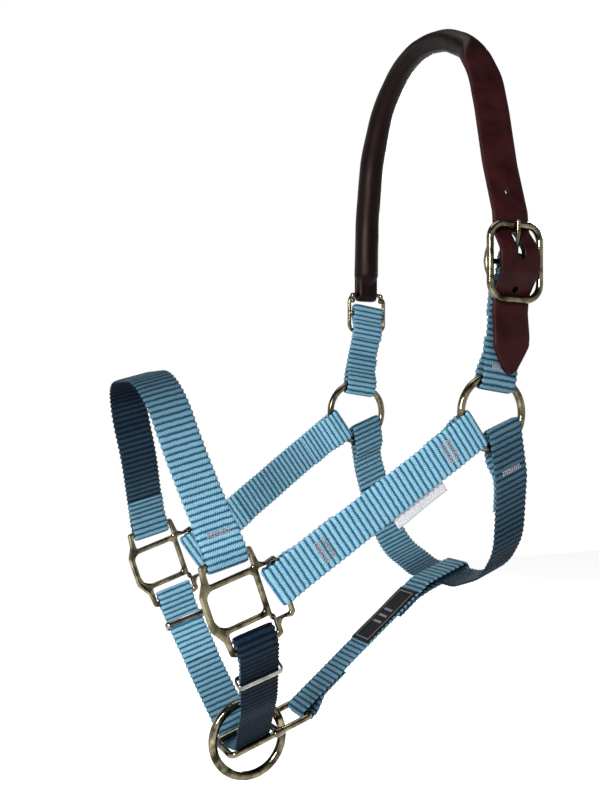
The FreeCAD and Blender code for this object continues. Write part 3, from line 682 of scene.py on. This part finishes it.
def make_throat():
    outer, inner = RING_X + RING_LAYER, RING_X - RING_LAYER
    bend, lower = Vector((outer, 42.0)), Vector((81.0, 82.0))
    run = (lower - bend).normalized()
    leg = [
        beside(bend, run, 16, 1),
        inner_corner((outer, 7.3), bend, lower),
        (outer - STACK, 35),
        (inner, 27),
        (inner, 7.3),
        (outer, 7.3),
        bend,
        lower,
        (62, THROAT_BOTTOM - 11),
        (28, THROAT_BOTTOM),
    ]
    fold = RING_LAYER * 0.97
    leg_radii = [20, 5, 5, fold, fold, 22, 40, 45, 30]
    points = [Vector(p) for p in leg] + mirrored(reversed(leg), -1)
    # The stops are painted shade: the throat strap dark round its bottom and along one leg, lighter towards
    # the rings.
    webbing("throat_webbing", throat_plane(), points, leg_radii + leg_radii[::-1], "nose", "throat_strap",
            [(0.10, 0.5, 0.4), (0.16, 0.3, 0.22), (0.30, 0.1, 0.06), (0.50, 0.06, 0.03), (0.56, 0.25, 0.08),
             (0.62, 0.50, 0.08), (0.72, 0.70, 0.1), (0.84, 0.5, 0.3), (0.95, 0.45, 0.6)], seed=9)


LINK_RISE = 19.0
LINK_FRONT, LINK_CROSS, LINK_REAR = -16.2, 17.0, 40.5
LINK_WIRE = 2.2
LINK_LAYER = LINK_WIRE + 1.4


def link_point(along):
    return Vector((LINK_X, LEAD_RING.y, LEAD_RING.z)) + side_direction(LINK_RISE) * along


def connecting_frame():
    """What the connecting strap's two ends are laid out from."""
    rail = link_point(LINK_REAR)
    throat = THROAT_ORIGIN + side_direction(THROAT_LEAN) * THROAT_BOTTOM
    wide, over = side_direction(THROAT_RISE), side_direction(THROAT_RISE + 90)
    front = throat - wide * (HALF_WEB + 6)
    run = (Vector((0, front.y, front.z)) - Vector((0, rail.y, rail.z))).normalized()
    return rail, throat, wide, over, front, run, Vector((0, -run.z, run.y))


def connecting_run():
    rail, _, _, over, front, run, lift = connecting_frame()
    start = rail + run * 12 + lift * LINK_LAYER
    return start, Vector((start.x, front.y, front.z)) + over * (STACK + 0.15)


def make_connecting():
    rail, throat, wide, over, front, run, lift = connecting_frame()
    layer, throat_layer = LINK_LAYER, STACK + 0.15
    back = throat + wide * (HALF_WEB + 2.6)
    start, end = connecting_run()
    main = (end - start).normalized()
    under = Vector((0, main.z, -main.y)) * STACK
    points = [
        start + main * 24 + under,
        start + main * 4 + under,
        rail + run * 5 - lift * layer,
        rail - run * layer - lift * layer,
        rail - run * layer + lift * layer,
        start,
        end,
        back + over * throat_layer,
        back - over * throat_layer,
        front - over * throat_layer,
        end - main * 12 + under,
        end - main * 30 + under,
    ]
    fold, throat_fold = layer * 0.97, throat_layer * 0.97
    radii = [4, 4, fold, fold, 30, 8, throat_fold, throat_fold, 4, 4]
    plane = Plane((LINK_X, 0, 0), (0, 1, 0), (0, 0, 1))
    # The stops are painted shade, one face darker than the other along most of the strap.
    webbing("connecting_webbing", plane, [(p.y, p.z) for p in points], radii, "nose", "connecting_strap",
            [(0.1, 0.4, 0.5), (0.2, 0.60, 0.3), (0.5, 0.8, 0.3), (0.75, 0.7, 0.2), (0.85, 0.3, 0.3)], seed=12)


POST_LEAN = 8.1
BUCKLE_BAR = Vector((96.5, -1.5, -155.0))
LOOP = Vector((-93.0, -1.0, -169.0))
LOOP_BAR_X = -92.0
FAR_POST_X = 88.4


def post_plane():
    return strap_plane(RING_ORIGIN, side_direction(90 - POST_LEAN))


def post_height(z):
    return (z - RING_ORIGIN.z) / math.cos(math.radians(POST_LEAN))


def make_post(name, layer, bar, low_at, mid, high, top_drop, inner_drop, end_at, radii, painted_shade_and_tones, seed):
    """A post's webbing, from its fold round the side ring up to its fold round the bar (x, z)."""
    outer, inner = RING_X + RING_LAYER, RING_X - RING_LAYER
    bar_x, bar_at = bar[0], post_height(bar[1])
    end = (mid[0] - STACK, end_at)
    low, mid, high = Vector((outer, low_at)), Vector(mid), Vector(high)
    top = Vector((bar_x + layer, bar_at - top_drop))
    run = (mid - low).normalized()
    crest = bar_at + layer + 1.9
    points = [
        beside(low, run, 13, 1), beside(low, run, 4, 1), (inner, 25), (inner, RING_FOLD), (outer, RING_FOLD),
        low, mid, high, top, (bar_x + layer, crest), (bar_x - layer, crest),
        (bar_x - layer, bar_at - inner_drop), inner_corner(mid, high, top), end,
    ]
    ring_fold, fold = RING_LAYER * 0.97, layer * 0.97
    radii = [3, 3, ring_fold, ring_fold, *radii[:4], fold, fold, *radii[4:]]
    webbing(f"{name}_post_webbing", post_plane(), mirrored(points, SIDES[name]), radii, "crown",
            f"{name}_crown_post", painted_shade_and_tones, seed=seed)


def make_posts():
    # The tone lists are painted shade for each post's two faces, the near post painted darker than the far
    # one.
    make_post("near", 3.2, (BUCKLE_BAR.x, BUCKLE_BAR.z), 32, (91.0, 56), (91.0, 74.5), 2, 9, 58,
              [20, 20, 8, 2, 6, 10],
              [(0.1, 0.5, 0.5), (0.25, 0.4, 0.5), (0.5, 0.4, 0.3), (0.8, 0.4, 0.3)], 15)
    make_post("far", 2.8, (-LOOP_BAR_X, LOOP.z), 30, (FAR_POST_X, 55), (FAR_POST_X, 65.5), 3, 6.4, 57,
              [20, 12, 2, 2, 3, 4],
              [(0.1, 0.6, 0.6), (0.25, 0.8, 0.55), (0.6, 0.8, 0.7), (0.8, 0.7, 0.7)], 18)


# ---- crown leather

CROWN_Y = -1.5
CROWN_PATH = [(-92.8, -150), (-90.5, -98), (-83, -54), (-66, -17), (-38, 4.6), (-16, 10), (2, 9.8), (24, 5),
              (46, -6.5), (56, -15.5), (68, -33), (75, -57), (83, -92), (93.4, -124), (94.4, -136),
              (103.4, -148), (103.4, -161), (94.4, -175), (94.4, -186), (97.4, -200), (97.4, -223)]
CROWN_RADII = [120, 80, 60, 60, 60, 60, 60, 60, 40, 50, 60, 60, 14, 8, 7, 7, 7, 10, 12]
ROLL_GIRTH = [(0, 9.2), (95, 9.2), (140, 8.1), (215, 7.0), (255, 7.8)]     # half the roll's width along it
LEATHER_HALF = 12.5
LEATHER_THICK = 1.8
ROLL_END_X = 48.0
FLAT_START_X = 64.0
BULGE_Z = -154.0              # where the flat strap stands out over the buckle's bar
TIP_SHEAR = 0.075
TIP_LENGTH = 17.0
HOLE_HEIGHTS = [-111.0, -172.0]
HOLE_RADIUS = 1.9
SLOT_RISE, SLOT_WIDE, SLOT_TALL = 9.4, 5.0, 17.4     # the tongue's slot, from the buckle's bar
CROWN_AROUND = 36


def smooth_step(t):
    t = min(1.0, max(0.0, t))
    return t * t * (3 - 2 * t)


def make_crown():
    plane = Plane((0, CROWN_Y, 0), (1, 0, 0), (0, 0, 1))
    samples = evenly(rounded(CROWN_PATH, CROWN_RADII, 1.0), 1.6)
    total = samples[-1][2]
    verts, painted_shade_and_tones = [], []
    for point, normal, s in samples:
        flat = smooth_step((point.x - ROLL_END_X) / (FLAT_START_X - ROLL_END_X)) if s < total * 0.9 else 1.0
        girth = between(ROLL_GIRTH, s, 1)
        half = LEATHER_HALF + 1.7 * math.exp(-((point.y - BULGE_Z) / 12) ** 2)
        wide = girth + (half - girth) * flat
        thick = girth + (LEATHER_THICK - girth) * flat
        start = min(1.0, (s + 0.3) / 10.0) ** 0.4 if flat < 1 else 1.0
        shear = TIP_SHEAR * max(0.0, -175.0 - point.y) * flat
        left = total - s
        if left < TIP_LENGTH:
            t = left / TIP_LENGTH
            wide = 2.2 + (LEATHER_HALF - 2.2) * t ** 0.85
            if left < 2.5:
                wide *= math.sqrt(max(0.06, left / 2.5))
        power = 2 + 6 * flat
        for j in range(CROWN_AROUND):
            angle = math.tau * j / CROWN_AROUND
            c, d = math.cos(angle), math.sin(angle)
            reach = (abs(c) ** power + abs(d) ** power) ** (-1 / power)
            w, h = c * reach * wide, d * reach * thick
            crease = math.exp(-((abs(w) - (wide - 2.6)) / 0.45) ** 2) * 0.28 * flat
            h -= math.copysign(crease, h) if abs(h) > thick * 0.6 else 0
            lump = 0.22 * (1 - flat) * noise.noise(Vector((s * 0.06, c * 1.5, d * 1.5)))
            h, w = (h + lump * d) * start, (w + lump * c) * start
            verts.append(plane.at(point.x - normal.x * h, point.y - normal.y * h, w + shear))
            # The leather's own colour: near-black on the roll, brown on the flat strap; no shade is painted
            # here.
            painted_shade_and_tones.append(flat * (0.85 + 0.15 * noise.noise(Vector((s * 0.04, 2.2, 0)))))
    piece = make_object("crown_leather", verts, ring_faces(len(samples), CROWN_AROUND))
    attribute = piece.data.attributes.new("painted_shade_and_tone", "FLOAT", "POINT")
    attribute.data.foreach_set("value", painted_shade_and_tones)
    tidy_normals(piece)
    cutters = []
    for z in HOLE_HEIGHTS:
        cutters.append(cutter_rod((60, CROWN_Y, z), (120, CROWN_Y, z), HOLE_RADIUS))
    cutters.append(cutter_slot((98, CROWN_Y, BUCKLE_BAR.z + SLOT_RISE), SLOT_WIDE, SLOT_TALL, 30.0))
    for cutter in cutters:
        carve(piece, cutter)
    place(piece, "crown", "leather", leather_look, "crown_strap", "roll_filler")

    layer = 1.4 + 0.35 + LEATHER_THICK
    bar_z = LOOP.z + 16 - 1.4
    points = [(LOOP.x - layer, -138), (LOOP.x - layer, bar_z - layer - 0.6),
              (LOOP.x + layer, bar_z - layer - 0.6), (LOOP.x + layer, -138)]
    fold = layer * 0.97
    samples = evenly(rounded(points, [fold, fold]), 0.8)
    verts = []
    around = 20
    for point, normal, s in samples:
        for j in range(around):
            angle = math.tau * j / around
            c, d = math.cos(angle), math.sin(angle)
            reach = (abs(c) ** 6 + abs(d) ** 6) ** (-1 / 6)
            h = d * reach * (LEATHER_THICK - 0.1)
            verts.append(plane.at(point.x + normal.x * h, point.y + normal.y * h, c * reach * 7.5))
    tab = make_object("crown_tab_leather", verts, ring_faces(len(samples), around))
    place(tab, "crown", "leather", leather_look)


def cutter_rod(start, end, radius):
    verts, faces = [], []
    tube(verts, faces, [Vector(start), Vector(end)], radius, 24)
    piece = make_object("cutter", verts, faces, smooth=False)
    tidy_normals(piece)
    return piece


def cutter_slot(centre, wide, tall, deep):
    """A round-ended slot through the leather, along X."""
    half = wide / 2
    outline = closed_loop([(-half, -tall / 2), (half, -tall / 2), (half, tall / 2), (-half, tall / 2)],
                          [half * 0.98] * 4, 0.4)
    plane = Plane(centre, (0, 1, 0), (0, 0, 1))
    verts = [plane.at(p.x, p.y, w) for w in (-deep / 2, deep / 2) for p in outline]
    piece = make_object("cutter", verts, ring_faces(2, len(outline)), smooth=False)
    tidy_normals(piece)
    return piece


def carve(piece, cutter):
    modifier = piece.modifiers.new("carve", "BOOLEAN")
    modifier.operation = "DIFFERENCE"
    modifier.object = cutter
    modifier.solver = "EXACT"
    bake_modifiers(piece)
    bpy.data.objects.remove(cutter, do_unlink=True)


def bake_modifiers(piece):
    graph = bpy.context.evaluated_depsgraph_get()
    mesh = bpy.data.meshes.new_from_object(piece.evaluated_get(graph), depsgraph=graph)
    old = piece.data
    piece.modifiers.clear()
    piece.data = mesh
    bpy.data.meshes.remove(old)


# ---- metal

def circle(centre, radius, first, second, count):
    return [centre + first * (math.cos(math.tau * i / count) * radius)
            + second * (math.sin(math.tau * i / count) * radius) for i in range(count)]


def make_rings():
    count = 120

    def swelling(wire):
        """A welded ring is a little thick at its seam and never quite even."""
        return lambda i: wire + 0.10 * math.exp(-((i - 9) / 1.6) ** 2) + 0.04 * math.sin(i * 0.35)

    for name, side in SIDES.items():
        verts, faces = [], []
        centre = Vector((side * RING_X, RING_ORIGIN.y, RING_ORIGIN.z))
        points = circle(centre, 22.0, Vector((0, 1, 0)), Vector((0, 0, 1)), count)
        tube(verts, faces, points, swelling(2.4), 20, closed=True)
        piece = make_object(f"{name}_ring_brass", verts, faces)
        place(piece, f"{name}_ring", "brass", brass_look, f"{name}_side_ring")
    verts, faces = [], []
    points = circle(LEAD_RING, 23.5, Vector((0, 1, 0)), Vector((0, 0, 1)), count)
    tube(verts, faces, points, swelling(2.88), 22, closed=True)
    place(make_object("lead_ring_brass", verts, faces), "lead", "brass", brass_look, "lead_ring")


def cast_plate(name, plane, loops, thick, edge):
    """A flat casting from an outline and its openings, with rounded edges."""
    curve = bpy.data.curves.new(name, "CURVE")
    curve.dimensions = "2D"
    curve.fill_mode = "BOTH"
    curve.extrude = (thick / 2 - edge) * MM
    curve.bevel_depth = edge * MM
    curve.bevel_resolution = 4
    curve.offset = -edge * MM
    for loop in loops:
        spline = curve.splines.new("POLY")
        spline.points.add(len(loop) - 1)
        for point, target in zip(loop, spline.points):
            target.co = (point.x * MM, point.y * MM, 0, 1)
        spline.use_cyclic_u = True
    holder = bpy.data.objects.new(name + "_curve", curve)
    add(holder)
    graph = bpy.context.evaluated_depsgraph_get()
    mesh = bpy.data.meshes.new_from_object(holder.evaluated_get(graph), depsgraph=graph)
    bpy.data.objects.remove(holder, do_unlink=True)
    x, y, z, o = plane.across, plane.along, plane.normal, plane.origin * MM
    mesh.transform(Matrix(((x.x, y.x, z.x, o.x), (x.y, y.y, z.y, o.y), (x.z, y.z, z.z, o.z), (0, 0, 0, 1))))
    bm = bmesh.new()
    bm.from_mesh(mesh)
    bmesh.ops.remove_doubles(bm, verts=bm.verts, dist=0.00002)
    bmesh.ops.dissolve_degenerate(bm, edges=bm.edges, dist=0.00001)
    bm.to_mesh(mesh)
    bm.free()
    mesh.shade_smooth()
    piece = bpy.data.objects.new(name, mesh)
    add(piece)
    return piece


SQUARE_TILT = 19.0
SQUARE_CENTRE = Vector((0, -171.0, -348.5))
SQUARE_OUTLINE = [(-16.2, 25), (-13.0, 25.6), (13.0, 25.6), (16.2, 25), (17.4, 15.5), (20.5, 13.4),
                  (27, 14.8), (29.4, 12.5), (29.4, -20.0), (27, -22.4), (21.0, -20.5), (18.8, -24),
                  (19.0, -28.6), (15.8, -30), (-11.8, -30), (-14.6, -28.6), (-15.6, -19.5), (-21, -11),
                  (-21, 9), (-17.4, 16)]
SQUARE_OUTLINE_RADII = [*[1.4] * 4, 3, 3, *[1.8] * 4, 2.4, 2.6, *[1.6] * 4, 3, 6, 8, 4]


def make_squares():
    across, up = side_direction(SQUARE_TILT), side_direction(SQUARE_TILT + 90)
    window = closed_loop([(-17, -12.7), (12.3, -12.7), (12.3, 10.3), (-17, 10.3)], [8, 3, 3, 5])
    slots = [
        closed_loop([(-13.3, 13.8), (13.3, 13.8), (13.3, 22), (-13.3, 22)], [1.5] * 4),
        closed_loop([(15.8, -19), (26.3, -19), (26.3, 11.5), (15.8, 11.5)], [1.5] * 4),
        closed_loop([(-11.6, -26.4), (15.6, -26.4), (15.6, -16), (-11.6, -16)], [1.5] * 4),
    ]
    outline = closed_loop(SQUARE_OUTLINE, SQUARE_OUTLINE_RADII)
    for name, side in SIDES.items():
        plane = Plane(SQUARE_CENTRE + Vector((side * SQUARE_X, 0, 0)), across, up)
        piece = cast_plate(f"{name}_square_brass", plane, [outline, window, *slots], 3.4, 1.35)
        place(piece, "nose", "brass", brass_look, f"{name}_nose_square")


def make_link():
    rails = LINK_RAIL
    plane = strap_plane(link_point(0), side_direction(LINK_RISE))
    loop = closed_loop([(-rails, LINK_FRONT), (rails, LINK_FRONT), (rails, LINK_REAR), (-rails, LINK_REAR)],
                       [3.4] * 4, 0.6)
    verts, faces = [], []
    tube(verts, faces, [plane.at(p.x, p.y) for p in loop], 2.1, 14, closed=True)
    cross = [plane.at(x, LINK_CROSS) for x in (-rails, -rails + 2, 0, rails - 2, rails)]
    tube(verts, faces, cross, lambda i: 2.1 if 0 < i < 4 else 1.6, 14)
    for x in (-rails, rails):
        collar = [plane.at(x, LINK_CROSS + d) for d in (-3.4, -2.9, -1.2, 1.2, 2.9, 3.4)]
        tube(verts, faces, collar, lambda i: (2.15, 2.5, 2.75, 2.75, 2.5, 2.15)[i], 14)
    place(make_object("chin_link_brass", verts, faces), "nose", "brass", brass_look, "chin_link")


def make_buckle():
    y, z = CROWN_Y, BUCKLE_BAR.z
    plane = Plane((98.5, y, z), (0, 1, 0), (0, 0, 1))
    half_wide, half_tall = 18.0, 22.5
    loop = closed_loop([(-half_wide, -half_tall), (half_wide, -half_tall), (half_wide, half_tall),
                        (-half_wide, half_tall)], [10, 10, 9, 9], 0.6)
    verts, faces = [], []
    points = [plane.at(p.x, p.y) for p in loop]

    def wire(i):
        height = (points[i].z - z) / half_tall
        return 2.15 + 0.12 * abs(height)

    tube(verts, faces, points, wire, 18, closed=True)
    bar = [Vector((96.5, y + d, z)) for d in (-18, -17, -10, 0, 10, 17, 18)]
    tube(verts, faces, bar, 1.75, 14)
    for sense in (-1, 1):
        ear = [Vector((98.2, y + sense * 18.3, z + d)) for d in (-11, -8.5, -5, 0, 5, 8.5, 11)]
        ear = [p - Vector((2.9 * math.cos((p.z - z) / 11 * math.pi / 2), 0, 0)) for p in ear]
        tube(verts, faces, ear, lambda i: (0.5, 1.2, 1.7, 2.0, 1.7, 1.2, 0.5)[i], 12)
    place(make_object("buckle_frame_brass", verts, faces), "crown", "brass", brass_look, "near_buckle_frame")

    verts, faces = [], []
    hub = [Vector((96.5, y + d, z)) for d in (-1.6, -1.3, 1.3, 1.6)]
    tube(verts, faces, hub, lambda i: (2.6, 2.95, 2.95, 2.6)[i], 20)
    line = evenly(rounded([(98.7, z + 0.5), (99.4, z + 6), (101.9, z + 17), (101.9, z + 25.3)], [8, 6]), 0.8)
    arm = [Vector((p.x, y, p.y)) for p, _, _ in line]
    last = len(arm) - 1
    tube(verts, faces, arm, lambda i: 1.55 * (1 - 0.25 * i / last) * (0.55 if i == last else 1), 14,
         squash=((1, 0, 0), 0.72))
    piece = make_object("buckle_tongue_brass", verts, faces)
    place(piece, "tongue", "brass", brass_look, "near_buckle_tongue")


def make_far_loop():
    plane = Plane(LOOP, (0, 1, 0), (0, 0, 1))
    half_wide, half_tall = 14.9, 14.6
    loop = closed_loop([(-half_wide, -half_tall), (half_wide, -half_tall), (half_wide, half_tall),
                        (-half_wide, half_tall)], [6, 6, 7, 7], 0.5)
    verts, faces = [], []
    tube(verts, faces, [plane.at(p.x, p.y) for p in loop], 1.45, 14, closed=True)
    bar = [Vector((LOOP_BAR_X, LOOP.y + d, LOOP.z)) for d in (-14.9, -12, 0, 12, 14.9)]
    tube(verts, faces, bar, 1.35, 12)
    for sense in (-1, 1):
        for rise, size in ((13.2, 2.5), (9.6, 2.0)):
            knob = [Vector((LOOP.x + 0.3, LOOP.y + sense * (12.2 + d), LOOP.z + rise))
                    for d in (-1.8, -1.2, 0, 1.2, 1.8)]
            tube(verts, faces, knob, lambda i, r=size: r * (0.45, 0.85, 1, 0.85, 0.45)[i], 12)
    place(make_object("far_loop_brass", verts, faces), "crown", "brass", brass_look, "far_crown_loop")


KEEPER_DEPTH = {"near": 31.0, "far": 25.0}


def make_keepers():
    chin = chin_plane()
    for name, side in SIDES.items():
        start, run = chin_run(side)
        spot = start + run * ((KEEPER_DEPTH[name] - 12.0) / run.y)
        inward = Vector((-run.y, run.x)) if side > 0 else Vector((run.y, -run.x))
        middle = spot + inward * (STACK / 2)
        origin = chin.at(middle.x, middle.y)
        down = chin.turn(run.x, run.y)
        inner = chin.turn(inward.x, inward.y)
        plane = Plane(origin, chin.normal, inner)
        loop = closed_loop([(-13.9, -3.5), (13.9, -3.5), (13.9, 3.5), (-13.9, 3.5)], [1.9] * 4, 0.4)
        verts = []
        profile = [(-2.0, 0.25), (-1.6, 0.55), (0, 0.62), (1.6, 0.55), (2.0, 0.25),
                   (2.0, -0.3), (0, -0.45), (-2.0, -0.3)]
        for i, p in enumerate(loop):
            tangent = (loop[(i + 1) % len(loop)] - loop[i - 1]).normalized()
            out = Vector((tangent.y, -tangent.x))
            for shift, lift in profile:
                q = p + out * lift
                verts.append(plane.at(q.x, q.y) + down * shift)
        piece = make_object(f"{name}_keeper_band", verts, ring_faces(len(loop), len(profile), True))
        place(piece, f"{name}_keeper", "brass", steel_look, f"{name}_chin_keeper")


# ---- stitching, label and tag

def face_frame(plane, point, outward, lift=WEB / 2):
    """Centre, across, along and out at a place on a strap's face."""
    out = plane.turn(outward[0], outward[1]).normalized()
    across = plane.width.normalized()
    centre = plane.at(point[0], point[1]) + out * lift
    return centre, across, out.cross(across).normalized(), out


def add_zigzag(verts, faces, spot, long=14.0, wide=2.8, turns=8, radius=0.20):
    """One bartack: a dense zigzag of thread with a straight stitch at each side."""
    centre, across, along, out = spot
    points = []
    for i in range(turns * 2 + 1):
        x = (i / (turns * 2) - 0.5) * long + random.uniform(-0.12, 0.12)
        y = (wide / 2 if i % 2 else -wide / 2) + random.uniform(-0.2, 0.2)
        points.append(centre + across * x + along * y + out * 0.10)
        x += long / turns / 4
        points.append(centre + across * x + out * (0.34 + random.uniform(-0.05, 0.05)))
    tube(verts, faces, points[:-1], radius, 6)
    for y in (-wide * 0.42, wide * 0.42):
        line = []
        for i in range(13):
            x = (i / 12 - 0.5) * long
            stray = y + random.uniform(-0.15, 0.15)
            line.append(centre + across * x + along * stray + out * (0.05 + 0.22 * (i % 2)))
        tube(verts, faces, line, radius * 0.8, 6)


CHEEK_TACKS = (37, 41.5, 131, 136)
NOSE_TACK = 11


def make_stitching():
    outer = RING_X + RING_LAYER
    slope = (cheek_outer(60) - cheek_outer(40)) / 20
    groups = {"cheek_bartacks": ([], "nose"), "noseband_bartacks": ([], "nose"),
              "throat_bartacks": ([], "nose"), "crown_post_bartacks": ([], "crown")}
    for side in SIDES.values():
        for s in CHEEK_TACKS:
            groups["cheek_bartacks"][0].append(
                face_frame(cheek_plane(), (side * cheek_outer(s), s), (side, -slope)))
        run = (NOSE_BEND - NOSE_START).normalized()
        at = NOSE_START + run * NOSE_TACK
        groups["noseband_bartacks"][0].append(
            face_frame(nose_plane(), (side * at.x, at.y), (side * run.y, -run.x)))
        groups["throat_bartacks"][0].append(face_frame(throat_plane(), (side * outer, 35), (side, 0)))
    run = (Vector((FAR_POST_X, 55)) - Vector((outer, 30))).normalized()
    at = Vector((outer, 30)) + run * 12
    groups["crown_post_bartacks"][0].append(face_frame(post_plane(), (-at.x, at.y), (-run.y, -run.x)))
    groups["crown_post_bartacks"][0].append(face_frame(post_plane(), (outer, 27), (1, 0)))
    for node, (spots, body) in groups.items():
        verts, faces = [], []
        for spot in spots:
            add_zigzag(verts, faces, spot)
        place(make_object(node + "_thread", verts, faces), body, "thread", thread_look, node)


def soft_patch(name, origin, long_way, wide_way, out, long, wide, thick, lift):
    """A thin cloth patch that follows lift(u, v), with a rounded rim and a 0 to 1 map."""
    columns, rows = 40, 16
    verts, maps = [], []
    for side in (1, -1):
        for r in range(rows + 1):
            for c in range(columns + 1):
                u, v = c / columns, r / rows
                rim = min(1.0, min(u, 1 - u) * long / 0.8, min(v, 1 - v) * wide / 0.8)
                h = lift(u, v) + side * thick / 2 * (0.25 + 0.75 * rim)
                verts.append(origin + long_way * ((u - 0.5) * long) + wide_way * ((v - 0.5) * wide) + out * h)
                maps.append((u, v))
    across = columns + 1
    sheet = across * (rows + 1)
    faces = []
    for r in range(rows):
        for c in range(columns):
            a = r * across + c
            faces.append((a, a + 1, a + across + 1, a + across))
            faces.append((sheet + a, sheet + a + across, sheet + a + across + 1, sheet + a + 1))
    rim = [c for c in range(across)] + [across * (r + 1) + columns for r in range(rows)]
    rim += [across * rows + c for c in reversed(range(columns))]
    rim += [across * r for r in reversed(range(1, rows))]
    for a, b in zip(rim, rim[1:] + rim[:1]):
        faces.append((a, sheet + a, sheet + b, b))
    piece = make_object(name, verts, faces)
    layer = piece.data.uv_layers.new(name="label")
    for loop in piece.data.loops:
        layer.data[loop.index].uv = maps[loop.vertex_index]
    return piece


LABEL_AT = 72                # along the connecting strap
TAG_AT = 71.0                # along the near cheek strap


def make_label_and_tag():
    start, end = connecting_run()
    run = (end - start).normalized()
    lift = Vector((0, -run.z, run.y))
    centre = start + run * LABEL_AT + lift * (WEB / 2 + 0.35)
    patch = soft_patch("label_patch", centre, run, Vector((-1, 0, 0)), lift, 50, 22.5, 0.55,
                       lambda u, v: 0.12 * math.sin(u * 9) * math.sin(v * 7))
    place(patch, "nose", "black_label", label_look, "woven_label")

    plane = cheek_plane()
    slope = (cheek_outer(60) - cheek_outer(40)) / 20
    down = plane.normal if plane.normal.z < 0 else -plane.normal
    along = plane.turn(slope, 1).normalized()
    out = along.cross(down)
    if out.x < 0:
        out = -out
    centre = plane.at(cheek_outer(TAG_AT) - WEB / 2 - 0.5, TAG_AT) + down * HALF_WEB
    patch = soft_patch("tag_patch", centre, along, down, out, 38, 14, 0.5,
                       lambda u, v: -0.5 * v * v * (1.2 + math.sin(u * 5)))
    place(patch, "nose", "white_tag", tag_look, "size_tag")


# ---- camera, light and floor

FLOOR_DROP = 0.16            # metres of clear space under the halter


def make_stage():
    camera_data = bpy.data.cameras.new("camera")
    camera_data.sensor_width = 36.0
    camera_data.lens = 44.55
    camera = bpy.data.objects.new("camera", camera_data)
    camera.location = (0.5895, -0.3642, -0.2439)
    heading = Vector((-0.9125, 0.4091, math.tan(math.radians(0.54))))
    camera.rotation_mode = "QUATERNION"
    camera.rotation_quaternion = heading.to_track_quat("-Z", "Y")
    camera_data.clip_start = 0.01
    add(camera)
    bpy.context.scene.camera = camera

    floor_z = cad_low.z - FLOOR_DROP
    mesh = bpy.data.meshes.new("floor")
    reach = 1.6
    mesh.from_pydata([(-reach, -reach, floor_z), (reach, -reach, floor_z), (reach, reach, floor_z),
                      (-reach, reach, floor_z)], [], [(0, 1, 2, 3)])
    floor = bpy.data.objects.new("floor", mesh)
    add(floor)
    material, nodes, links, shader = new_material("pale_floor")
    shader.inputs["Base Color"].default_value = (0.80, 0.80, 0.80, 1)
    shader.inputs["Roughness"].default_value = 0.9
    shader.inputs["Emission Color"].default_value = (1, 1, 1, 1)
    shader.inputs["Emission Strength"].default_value = 0.60
    mesh.materials.append(material)

    world = bpy.data.worlds.new("studio")
    world.use_nodes = True
    nodes, links = world.node_tree.nodes, world.node_tree.links
    calc = partial(math_node, nodes, links)
    background = nodes["Background"]
    split = nodes.new("ShaderNodeSeparateXYZ")
    links.new(nodes.new("ShaderNodeTexCoord").outputs["Generated"], split.inputs[0])
    sky = ramp(nodes, links, calc("MULTIPLY_ADD", split.outputs[2], 0.5, 0.5), [
        (0.70, (1.0, 1.0, 1.0)),
        (0.76, (0.10, 0.10, 0.11)),
    ])
    links.new(sky, background.inputs["Color"])
    background.inputs["Strength"].default_value = 1.0
    bpy.context.scene.world = world

    add_light("key", (0.90, -1.05, 0.20), 0.40, 43)
    add_light("top", (-0.1, -0.2, 1.1), 0.9, 9)
    add_light("rim", (-0.9, 0.9, 0.35), 0.5, 16)
    bpy.context.scene.view_settings.view_transform = "Standard"


def add_light(name, location, size, power):
    data = bpy.data.lights.new(name, "AREA")
    data.size = size
    data.energy = power
    light = bpy.data.objects.new(name, data)
    light.location = location
    target = (cad_low + cad_high) / 2
    light.rotation_mode = "QUATERNION"
    light.rotation_quaternion = (target - light.location).to_track_quat("-Z", "Y")
    add(light)


make_stage()
make_cheeks()
make_noseband()
make_chin()
make_throat()
make_connecting()
make_posts()
make_crown()
make_rings()
make_squares()
make_link()
make_buckle()
make_far_loop()
make_keepers()
make_stitching()
make_label_and_tag()
